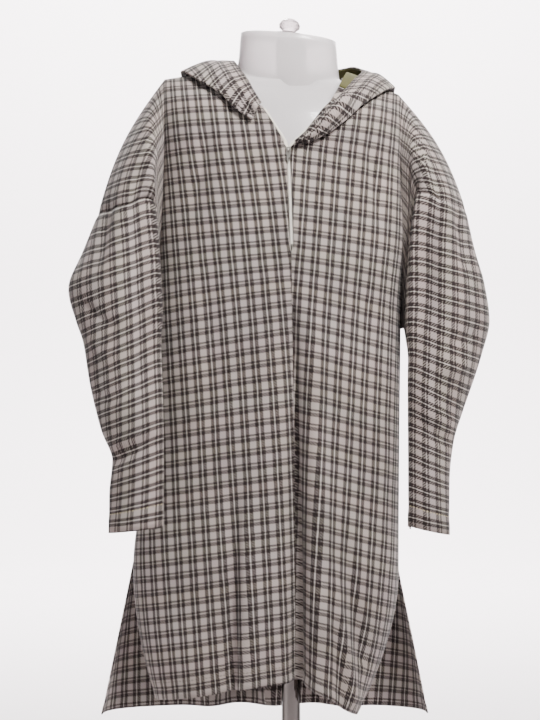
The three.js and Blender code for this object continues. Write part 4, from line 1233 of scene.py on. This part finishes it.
CREASES = [
    # Front, down the middle and in the skirt, then the drag lines from the shoulders and the end of the zip
    *creases("body", "front",
        (-6.5, 5, 0.2, True, (0, 1010), (4, 800), (8, 560), (9, 360)),
        (4, 13, 0.3, True, (30, 940), (36, 700), (44, 520), (52, 340)),
        (-4, 7, 0.4, True, (-84, 700), (-83, 560), (-86, 350)),
        (3.5, 9, 0.4, True, (-66, 690), (-67, 540), (-70, 350)),
        (4.5, 8, 0.35, True, (56, 560), (66, 470), (88, 345)),
        (-3.5, 7, 0.35, True, (76, 620), (84, 520), (104, 400)),
        (-2.2, 14, 0.3, False, (-130, 1010), (-112, 860), (-120, 700)),
        (1.8, 18, 0.3, False, (-40, 960), (-44, 820), (-36, 640)),
        (-2.0, 14, 0.3, False, (104, 980), (110, 860), (98, 690)),
        (1.6, 16, 0.3, False, (136, 760), (128, 640), (134, 500)),
        (-2.4, 7, 0.3, False, (-120, 1205), (-128, 1130), (-150, 1040)),
        (1.6, 8, 0.3, False, (-100, 1190), (-104, 1110), (-118, 1030)),
        (-2.2, 7, 0.3, False, (112, 1180), (118, 1110), (132, 1020)),
        (-1.6, 5, 0.3, False, (-18, 1140), (-30, 1090), (-34, 1030)),
        (-1.6, 5, 0.3, False, (18, 1130), (26, 1080), (26, 1020)),
        (-1.8, 5, 0.3, False, (-2, 1002), (-16, 975), (-46, 940)),
        (-1.5, 5, 0.3, False, (2, 1002), (18, 972), (40, 945)),
    ),
    # Left arm, in front: the hollow beside the ridge, the web and the bend over the cuff
    *creases("left", "front",
        (-6, 8, 0.2, False, (-189, 1250), (-194, 1180), (-188, 1110), (-186, 1040), (-184, 960)),
        (4.5, 6, 0.2, False, (-212, 1210), (-210, 1127), (-202, 1040), (-197, 940), (-192, 840)),
        (-3, 10, 0.3, False, (-226, 1150), (-228, 1060), (-224, 960), (-216, 860)),
        (-3, 8, 0.35, False, (-262, 1090), (-276, 1020), (-284, 950)),
        (-4.5, 6, 0.2, False, (-264, 690), (-236, 702), (-190, 727)),
        (2.5, 7, 0.25, False, (-264, 712), (-236, 724), (-196, 748)),
        (-2.8, 7, 0.3, False, (-312, 930), (-280, 900), (-240, 880)),
        (2, 9, 0.3, False, (-305, 880), (-272, 850), (-236, 838)),
        (-2.2, 8, 0.3, False, (-212, 900), (-222, 840), (-218, 780)),
        (-2, 6, 0.3, False, (-292, 800), (-262, 780), (-226, 790)),
    ),
    # Right arm, in front
    *creases("right", "front",
        (-6, 8, 0.2, False, (160, 1220), (168, 1150), (164, 1060), (162, 980)),
        (4.5, 6, 0.2, False, (196, 1180), (193, 1094), (182, 1019), (178, 920), (177, 830)),
        (-3, 9, 0.3, False, (212, 1150), (210, 1060), (200, 960), (196, 870)),
        (-3, 8, 0.35, False, (238, 1080), (252, 1010), (258, 950)),
        (-3.5, 6, 0.2, False, (240, 716), (214, 726), (182, 748)),
        (2.2, 7, 0.25, False, (246, 742), (218, 752), (186, 772)),
        (-2.6, 7, 0.3, False, (282, 890), (250, 866), (212, 858)),
        (2, 8, 0.3, False, (272, 842), (244, 826), (204, 824)),
        (-2, 8, 0.3, False, (206, 880), (214, 820), (210, 770)),
    ),
    # Back, fuller and longer than the front
    *creases("body", "back",
        (-4.5, 9, 0.25, True, (-14, 1060), (-18, 860), (-24, 600), (-32, 320)),
        (4, 15, 0.3, True, (-52, 960), (-56, 760), (-66, 560), (-80, 320)),
        (-4, 10, 0.3, True, (58, 900), (66, 700), (84, 330)),
        (3.5, 12, 0.3, True, (30, 840), (32, 620), (40, 330)),
        (-4, 10, 0.3, True, (-96, 880), (-106, 640), (-132, 330)),
        (-2.5, 8, 0.3, False, (-110, 1190), (-122, 1110), (-146, 1010)),
        (-2.5, 8, 0.3, False, (96, 1170), (108, 1100), (130, 1000)),
    ),
    # Both arms behind
    *creases("left", "back",
        (-5, 9, 0.25, False, (-196, 1220), (-214, 1120), (-208, 1000)),
        (3, 10, 0.3, False, (-244, 1150), (-262, 1060), (-262, 960)),
        (-3.5, 7, 0.25, False, (-270, 700), (-240, 706), (-200, 720)),
        (-3, 8, 0.3, False, (-316, 920), (-282, 896), (-236, 886)),
    ),
    *creases("right", "back",
        (-5, 9, 0.25, False, (172, 1200), (190, 1110), (184, 990)),
        (3, 10, 0.3, False, (222, 1130), (236, 1040), (236, 940)),
        (-3, 7, 0.25, False, (246, 730), (220, 734), (184, 748)),
        (-3, 8, 0.3, False, (284, 884), (252, 866), (206, 862)),
    ),
]

HOOD_CREASES = [
    *creases("all", "front",
        (-2.6, 4, 0.2, False, (50, 1186), (24, 1160), (6, 1140)),
        (2.0, 8, 0.3, False, (92, 1236), (60, 1196), (30, 1160)),
        (-2.0, 6, 0.3, False, (-72, 1232), (-62, 1200), (-56, 1176)),
    ),
    *creases("all", "back",
        (-3.5, 9, 0.3, False, (-70, 1270), (-78, 1210), (-66, 1150)),
        (3.0, 10, 0.3, False, (-34, 1280), (-36, 1200), (-24, 1130)),
        (-3.0, 9, 0.3, False, (40, 1280), (46, 1200), (40, 1130)),
        (-2.4, 9, 0.3, False, (100, 1260), (104, 1210), (90, 1160)),
    ),
]




def flat_size(cloth, piece):
    """Width, length and area in metres of a piece's flat cut."""
    pairs, area = [], 0.0
    for part, _, uv in cloth.faces:
        if part == piece:
            pairs += uv
            turn = [a[0] * b[1] - b[0] * a[1] for a, b in zip(uv, uv[1:] + uv[:1])]
            area += abs(sum(turn)) / 2
    low, high = np.min(pairs, axis=0), np.max(pairs, axis=0)
    size = (high - low) * MM
    return (float(size[0]), float(size[1])), float(area * MM * MM)


# Each cloth: its wall in millimetres, its material and its slot
TWEED = (CLOTH, "check tweed", "tweed")
LINING = (LINING_CLOTH, "olive lining", "lining")
TAPE = (1.0, "zip tape", "zip_tape")


def build_cloth(cloth, name, piece, cad_node, kind):
    wall, material, slot = kind
    made = cloth.build(name, piece, wall, material)
    flat, area = flat_size(cloth, piece)
    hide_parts(cad_node)


THREAD = {"width": 0.9, "height": 0.5, "lift": CLOTH / 2 + 0.12, "wander": 0.1}
STITCH_GAP = 0.55  # between two stitches, as a share of a stitch


def stitches(name, lines, settings, material):
    """One object with all the stitches along some lines of places and outward directions."""
    length = settings.stitch / MM
    rows = [dashes(line, length, length * STITCH_GAP, **THREAD) for line in lines]
    made = object_from(name, *joined(rows), material)


class Worn:
    """What one operator leaves for the next."""

    garment = None


def make_garment(cloth_settings):
    cloth = make_garment_cloth(cloth_settings)
    cloth.settle(CREASES)
    Worn.garment = cloth
    for name, node, rests_on in (
        ("front_cloth", "front_panel", "form_shell"),
        ("back_cloth", "back_panel", "form_shell"),
        ("sleeve_cloth_left", "sleeve_left", "front_cloth"),
        ("sleeve_cloth_right", "sleeve_right", "front_cloth"),
    ):
        build_cloth(cloth, name, node, node, TWEED)


def last_row(count, height, least):
    """The lowest row of a grid that is still this high above its edge."""
    rows = steps(count)
    return next(k for k in reversed(range(len(rows))) if height(rows[k]) >= least)


def make_stitching(settings):
    cloth = Worn.garment
    for piece, name in (("front_panel", "front_hem_stitches"), ("back_panel", "back_hem_stitches")):
        lines = []
        for grid, side in ((0, -1), (2, 1)):
            flat = cloth.cuts[piece, side][0]
            bottom = flat(0.5, HEM_ROW)[1]
            row = last_row(HEM_ROW, lambda row, f=flat, b=bottom: f(0.5, row)[1] - b, settings.hem / MM)
            lines.append(cloth.line(cloth.grids[piece][grid][row]))
        stitches(name, lines, settings, "dark thread")
    for side in (-1, 1):
        along = cloth.cuts["sleeve", side]
        total = abs(along(1, 3)[0])

        def above_cuff(row, along=along, total=total):
            return total - abs(along(row / SLEEVE_RINGS, 3)[0])

        row = last_row(SLEEVE_RINGS, above_cuff, settings.cuff / MM)
        lines = [cloth.line(grid[row]) for grid in cloth.grids["sleeve_" + side_name(side)]]
        stitches("cuff_stitches_" + side_name(side), lines, settings, "cream thread")


# ---- The hood ----
def make_hood_cloth():
    cloth = Cloth()
    columns, rows = HOOD["columns"] * FINE, HOOD["rows"] * FINE
    for side in (-1, 1):
        sections = [hood_section(side, j / columns) for j in range(columns + 1)]
        spans = len(sections[0]) - 1
        grid = [[on_curve(section, i / rows * spans) for i in range(rows + 1)] for section in sections]
        across = [flat_of(line) for line in grid]
        along = flat_of([line[rows] for line in grid])
        ids = cloth.patch(
            "hood_" + side_name(side), range(rows + 1), range(columns + 1),
            lambda i, j, g=grid: g[j][i],
            lambda i, j, a=across, b=along, s=side: (s * b[j], a[j][rows] - a[j][i]),
            side > 0,
            extra=lambda i, j: -math.exp(-(((rows - i) / FINE - 1.3) / 0.25) ** 2),
        )
        cloth.grids["ids_" + side_name(side)] = ids
    return cloth


def make_lining_cloth(hood):
    cloth = Cloth()
    depth = CLOTH / 2 + LAYER_GAP + LINING_CLOTH / 2
    columns = HOOD["columns"] * FINE
    low, high = HOOD_LINING["firstRows"] * FINE, HOOD_LINING["lastRows"] * FINE
    rows = [k for k in range(HOOD["rows"] * FINE + 1) if k <= low or k >= high]
    left, right = HOOD_LINING["left"] * FINE, HOOD_LINING["right"] * FINE

    def inner(row, side, j):
        k = hood.grids["ids_" + side_name(side)][row][j]
        return Vector(hood.places[k]) - Vector(hood.outward[k]) * depth

    def place(row, side, j):
        here = inner(row, side, j)
        if row in (rows[0], rows[-1]):
            return here.lerp(inner(rows[1] if row == rows[0] else rows[-2], side, j), 0.3)
        return here

    spans = {-1: range(left, columns + 1), 1: range(right, columns + 1)}
    for side, span in spans.items():
        middle = flat_of([place(rows[8], side, j) for j in span])
        lengths = {j: flat_of([place(row, side, j) for row in rows]) for j in span}
        number = {row: k for k, row in enumerate(rows)}
        cloth.patch(
            "lining", rows, span,
            lambda i, j, s=side: place(i, s, j),
            lambda i, j, s=side, a=lengths, b=middle, f=span: (s * (b[-1] - b[j - f[0]]), a[j][number[i]]),
            side > 0,
        )
    cloth.settle([])
    return cloth


def make_hood():
    cloth = make_hood_cloth()
    cloth.settle(HOOD_CREASES)
    halves = []
    for side in ("left", "right"):
        node = "hood_" + side
        halves.append("hood_cloth_" + side)
        build_cloth(cloth, halves[-1], node, node, TWEED)
    build_cloth(make_lining_cloth(cloth), "lining_cloth", "lining", "hood_lining", LINING)


# ---- The zip ----
def tape_edge_x(side, z):
    meeting = zip_line_x(min(z, ZIP["sliderZ"])) + side * TAPE_GAP / 2
    opened = inner_x(FRONT, side, 0, z) - side * TAPE_BAND["showing"]
    return min(meeting, opened) if side < 0 else max(meeting, opened)


TAPE_DEPTH = CLOTH / 2 + LAYER_GAP + TAPE[0] / 2  # from the middle of the front to the middle of the tape


def make_tape(side):
    cloth = Cloth()
    top = ZIP[side_name(side) + "Z"] - 2
    length = top - ZIP["endZ"] + TAPE_BAND["below"]
    rows, columns = TAPE_BAND["rows"] * FINE, TAPE_BAND["columns"] * 2

    def at(i, j):
        z = lerp(top, ZIP["endZ"] - TAPE_BAND["below"], i / rows)
        here, out = front_frame(side, tape_edge_x(side, z) + side * TAPE_BAND["width"] * j / columns, z)
        return here - out * TAPE_DEPTH

    cloth.patch(
        "tape", range(rows + 1), range(columns + 1), at,
        lambda i, j: (side * TAPE_BAND["width"] * j / columns, -length * i / rows),
        side < 0,
    )
    cloth.settle([])
    return cloth


# A tooth's section, in shares of its width and thickness
TOOTH = (
    (-0.5, -0.28), (-0.5, 0.28), (-0.3, 0.5), (0.3, 0.5), (0.5, 0.28), (0.5, -0.28), (0.3, -0.5), (-0.3, -0.5),
)


def tooth(here, out, along, width, thick, tall):
    """A small block with its long edges rounded, its own axes given."""
    across = along.cross(out).normalized()
    vertices, faces = [], []
    for end in (-0.5, 0.5):
        for x, y in TOOTH:
            vertices.append(here + across * (x * width) + out * (y * thick) + along * (end * tall))
    for k in range(8):
        faces.append([k, (k + 1) % 8, 8 + (k + 1) % 8, 8 + k])
    faces.append([k for k in reversed(range(8))])
    faces.append([8 + k for k in range(8)])
    return vertices, faces


def closed_teeth(pitch):
    """Teeth meshed in turn from both sides, from the slider down to the stop."""
    teeth = []
    z = ZIP["sliderZ"] - SLIDER["below"] - SLIDER["height"] / 2 - 1
    number = 0
    while z > ZIP["endZ"] + STOP["height"] + 1:
        here, out = front_frame(1, zip_line_x(z), z)
        here.y += CHAIN["sink"]
        here.x += 0.55 if number % 2 else -0.55
        up = Vector((0, 0, 1))
        teeth.append(tooth(here, out, up, CHAIN["toothWide"], CHAIN["toothThick"], pitch / 2 * 0.86))
        z -= pitch / 2
        number += 1
    return teeth


def open_teeth(pitch, width):
    """Teeth standing apart on both tapes above the slider."""
    teeth = []
    for side in (-1, 1):
        top = ZIP[side_name(side) + "Z"] - 3
        points = []
        for k in range(60):
            z = lerp(ZIP["sliderZ"] + 6, top, k / 59)
            here, out = front_frame(side, tape_edge_x(side, z) + side * 0.6, z)
            points.append((here - out * TAPE_DEPTH, out))
        lengths = flat_of([p for p, _ in points])
        at = pitch / 2
        while at < lengths[-1]:
            k = max(0, int(np.searchsorted(lengths, at)) - 1)
            along = (points[k + 1][0] - points[k][0]).normalized()
            here = points[k][0] + along * (at - lengths[k])
            teeth.append(tooth(here, points[k][1], along, width, 2.2, pitch * 0.5))
            at += pitch
    return teeth


def make_zip(settings):
    for side in (-1, 1):
        name, node = "tape_cloth_" + side_name(side), "zip_tape_" + side_name(side)
        build_cloth(make_tape(side), name, "tape", node, TAPE)
    pitch, width = settings.pitch / MM, settings.tooth / MM
    closed = object_from("zip_teeth_closed", *joined(closed_teeth(pitch)), "cream teeth", False)
    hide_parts("zip_chain")
    opened = object_from("zip_teeth_open", *joined(open_teeth(pitch, width)), "cream teeth", False)
    for node in ("zip_slider", "zip_stop", "zip_pull_tab"):
        dress(node, "zip metal")


def dress(node, material):
    """Gives a carried-over solid its material."""
    kept = bpy.data.objects[node]
    kept.data.materials.clear()
    kept.data.materials.append(bpy.data.materials[material])


# ---- The dress form ----
def yoke_lean(x, z):
    low, high = smooth(z, NECK["leanEnd"], NECK["leanFrom"]), smooth(z, NECK["leanFrom"], NECK["topZ"])
    return -(x - SHOULDER["middleX"]) * lerp(SHOULDER["lean"] * low, NECK["leanTop"], high)


def under_cloth(x, y):
    """The highest that the form may reach at x and y on its shoulders."""
    side = -1 if x < SHOULDER["middleX"] else 1
    facing = -1 if y < 0 else 1
    low, high = 0.0, 1.0
    for _ in range(10):
        a = (low + high) / 2
        if abs(body_at(side, x, facing * a).y) < abs(y):
            low = a
        else:
            high = a
    here, out = body_frame(side, x, facing * max(low, 0.03))
    return here.z - (CLOTH / 2 + FORM_CLEARANCE + 1.2) / max(out.z, 0.3)


def form_ring(level, sides):
    points = []
    for i in range(sides):
        angle = 2 * math.pi * (i + 0.5) / sides
        c, s = math.cos(angle), math.sin(angle)
        x = level["x"] + level["half"] * math.copysign(abs(c) ** 0.85, c)
        y = (level["front"] if s < 0 else level["back"]) * math.copysign(abs(s) ** 0.92, s)
        z = level["z"] + yoke_lean(x, level["z"])
        points.append(Vector((x, y, min(z, under_cloth(x, y)) if level["top"] else z)))
    return points


def make_form_skin():
    """The moulded shell: smooth outside, with an inner wall joined to it by a flat band at the lower edge, open
    below.
    """
    sides, finer = 96, 4
    levels = [form_ring(level, sides) for level in FORM]
    count = (len(levels) - 1) * finer
    lines = [[ring[i] for ring in levels] for i in range(sides)]
    outer = [[on_curve(line, k / finer) for line in lines] for k in range(count + 1)]
    rim = outer[-1]
    hole = {"z": NECK["topZ"], "x": NECK["middleX"], "top": 0}
    for share in (0.985, 0.96, 0.7):
        ring = []
        for p in rim:
            x = lerp(NECK["middleX"], p.x, share)
            tilt = yoke_lean(x, NECK["topZ"]) - yoke_lean(p.x, NECK["topZ"])
            ring.append(Vector((x, p.y * share, p.z + (0.9 if share < 0.98 else 0.5) + tilt)))
        outer.append(ring)
    radius = NECK["hole"]
    hole.update(half=radius, front=radius, back=radius)
    outer.append([p + Vector((0, 0, 0.9)) for p in form_ring(hole, sides)])
    inner = []
    for k, ring in enumerate(outer):
        middle = sum(ring, Vector((0, 0, 0))) / sides
        sunk = FORM_WALL * smooth(k, (len(FORM) - 9) * finer, (len(FORM) - 7) * finer)
        wall = []
        for p in ring:
            away = Vector((p.x - middle.x, p.y - middle.y, 0))
            pull = FORM_WALL if k < len(outer) - 1 else 0
            wall.append(p - away.normalized() * pull - Vector((0, 0, sunk)))
        inner.append(wall)
    rings = outer + inner[::-1]
    vertices = [p for ring in rings for p in ring]
    faces = []
    for k in range(len(rings)):
        following = (k + 1) % len(rings)
        for i in range(sides):
            j = (i + 1) % sides
            faces.append([k * sides + i, k * sides + j, following * sides + j, following * sides + i])
    made = object_from("form_skin", vertices, faces, "frosted plastic")
    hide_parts("form_shell")


def make_form():
    make_form_skin()
    for node, material in (
        ("form_cap", "clear plastic"),
        ("form_knob", "clear plastic"),
        ("form_socket", "socket plastic"),
        ("stand_pole", "chrome"),
        ("stand_base", "chrome"),
    ):
        dress(node, material)


# ---- The studio ----
def make_studio(settings):
    bends = [k * math.pi / 24 for k in range(13)]
    profile = [(-6.0, 0.0), *((5.0 + 1.2 * math.sin(a), 1.2 - 1.2 * math.cos(a)) for a in bends), (6.2, 7.0)]
    vertices = [(x, y, z) for y, z in profile for x in (-9, 9)]
    faces = [[2 * k, 2 * k + 1, 2 * k + 3, 2 * k + 2] for k in range(len(profile) - 1)]
    mesh = bpy.data.meshes.new("studio_sweep")
    mesh.from_pydata(vertices, [], faces)
    mesh.materials.append(bpy.data.materials["backdrop"])
    for polygon in mesh.polygons:
        polygon.use_smooth = True
    sweep = bpy.data.objects.new("studio_sweep", mesh)
    bpy.context.scene.collection.objects.link(sweep)

    def lamp(name, place, target, size, power, colour=(1, 1, 1), spread=180):
        data = bpy.data.lights.new(name, "AREA")
        data.shape = "RECTANGLE"
        data.size, data.size_y = size
        data.energy = power
        data.color = colour
        data.spread = math.radians(spread)
        made = bpy.data.objects.new(name, data)
        made.location = place
        made.rotation_euler = (Vector(target) - Vector(place)).to_track_quat("-Z", "Y").to_euler()
        bpy.context.scene.collection.objects.link(made)

    lamp("soft_key", (0.9, -1.7, 2.7), (0, 0, 1.4), (0.8, 0.8), 37, (1, 0.985, 0.97), 80)
    lamp("soft_front", (-0.6, -3.0, 2.6), (0, 0, 1.3), (1.2, 1.2), 20, (1, 0.99, 0.98))
    lamp("soft_fill", (-2.6, -2.2, 1.8), (0, 0, 0.9), (1.5, 1.6), 6, (0.97, 0.98, 1))
    lamp("soft_top", (0, 0.6, 3.8), (0, 0, 0.9), (2.2, 1.2), 40)
    lamp("backdrop_light", (0, 3.4, 4.4), (0, 6.0, 1.0), (5.0, 1.0), 1450)
    world = bpy.data.worlds.new("studio")
    world.use_nodes = True
    background = world.node_tree.nodes["Background"].inputs
    background["Color"].default_value = srgb(240, 234, 236)
    background["Strength"].default_value = 0.2
    bpy.context.scene.world = world
    data = bpy.data.cameras.new("camera")
    data.lens = 100
    data.sensor_width = 36
    data.clip_end = 100
    camera = bpy.data.objects.new("camera", data)
    camera.location = (settings.aside, -settings.distance, settings.height)
    camera.rotation_euler = (math.pi / 2, 0, 0)
    bpy.context.scene.collection.objects.link(camera)
    bpy.context.scene.camera = camera


# ---- Operators ----
class PHERAN_OT_materials(bpy.types.Operator):
    """Makes the cloths, plastics and metals"""

    bl_idname = "pheran.materials"
    bl_label = "Materials"

    def execute(self, context):
        make_materials(context.scene.pheran_weave)
        return {"FINISHED"}


class PHERAN_OT_garment(bpy.types.Operator):
    """Hangs the front, back and sleeves on the form"""

    bl_idname = "pheran.garment"
    bl_label = "Front, back and sleeves"

    def execute(self, context):
        make_garment(context.scene.pheran_cloth)
        return {"FINISHED"}


class PHERAN_OT_stitching(bpy.types.Operator):
    """Sews the hems and cuffs"""

    bl_idname = "pheran.stitching"
    bl_label = "Stitching"

    def execute(self, context):
        make_stitching(context.scene.pheran_cloth)
        return {"FINISHED"}


class PHERAN_OT_hood(bpy.types.Operator):
    """Lays the hood and its lining down on the back"""

    bl_idname = "pheran.hood"
    bl_label = "Hood"

    def execute(self, context):
        make_hood()
        return {"FINISHED"}


class PHERAN_OT_zip(bpy.types.Operator):
    """Sets the tapes and teeth of the half zip, and finishes its slider, stop and tab"""

    bl_idname = "pheran.zip"
    bl_label = "Zip"

    def execute(self, context):
        make_zip(context.scene.pheran_zip)
        return {"FINISHED"}


class PHERAN_OT_form(bpy.types.Operator):
    """Finishes the dress form and its stand"""

    bl_idname = "pheran.form"
    bl_label = "Dress form"

    def execute(self, context):
        make_form()
        return {"FINISHED"}


class PHERAN_OT_studio(bpy.types.Operator):
    """Builds the plain sweep, the soft lights and the camera"""

    bl_idname = "pheran.studio"
    bl_label = "Studio"

    def execute(self, context):
        make_studio(context.scene.pheran_studio)
        return {"FINISHED"}


ORDER = ("materials", "garment", "stitching", "hood", "zip", "form", "studio")
SETTINGS = {
    "pheran_cloth": ClothSettings,
    "pheran_weave": WeaveSettings,
    "pheran_zip": ZipSettings,
    "pheran_studio": StudioSettings,
}


class PHERAN_PT_panel(bpy.types.Panel):
    """Lists the steps in order, with their settings"""

    bl_idname = "PHERAN_PT_panel"
    bl_label = "Hooded pheran"
    bl_space_type = "VIEW_3D"
    bl_region_type = "UI"
    bl_category = "Pheran"

    def draw(self, context):
        for step in ORDER:
            self.layout.operator("pheran." + step)
        for name, kind in SETTINGS.items():
            box = self.layout.box()
            for key in kind.__annotations__:
                box.prop(getattr(context.scene, name), key)


CLASSES = (
    *SETTINGS.values(),
    PHERAN_OT_materials,
    PHERAN_OT_garment,
    PHERAN_OT_stitching,
    PHERAN_OT_hood,
    PHERAN_OT_zip,
    PHERAN_OT_form,
    PHERAN_OT_studio,
    PHERAN_PT_panel,
)


def register():
    for entry in CLASSES:
        bpy.utils.register_class(entry)
    for name, kind in SETTINGS.items():
        setattr(bpy.types.Scene, name, bpy.props.PointerProperty(type=kind))


def unregister():
    for name in SETTINGS:
        delattr(bpy.types.Scene, name)
    for entry in reversed(CLASSES):
        bpy.utils.unregister_class(entry)


def main():
    register()
    for step in ORDER:
        getattr(bpy.ops.pheran, step)()


if __name__ == "__main__":
    main()
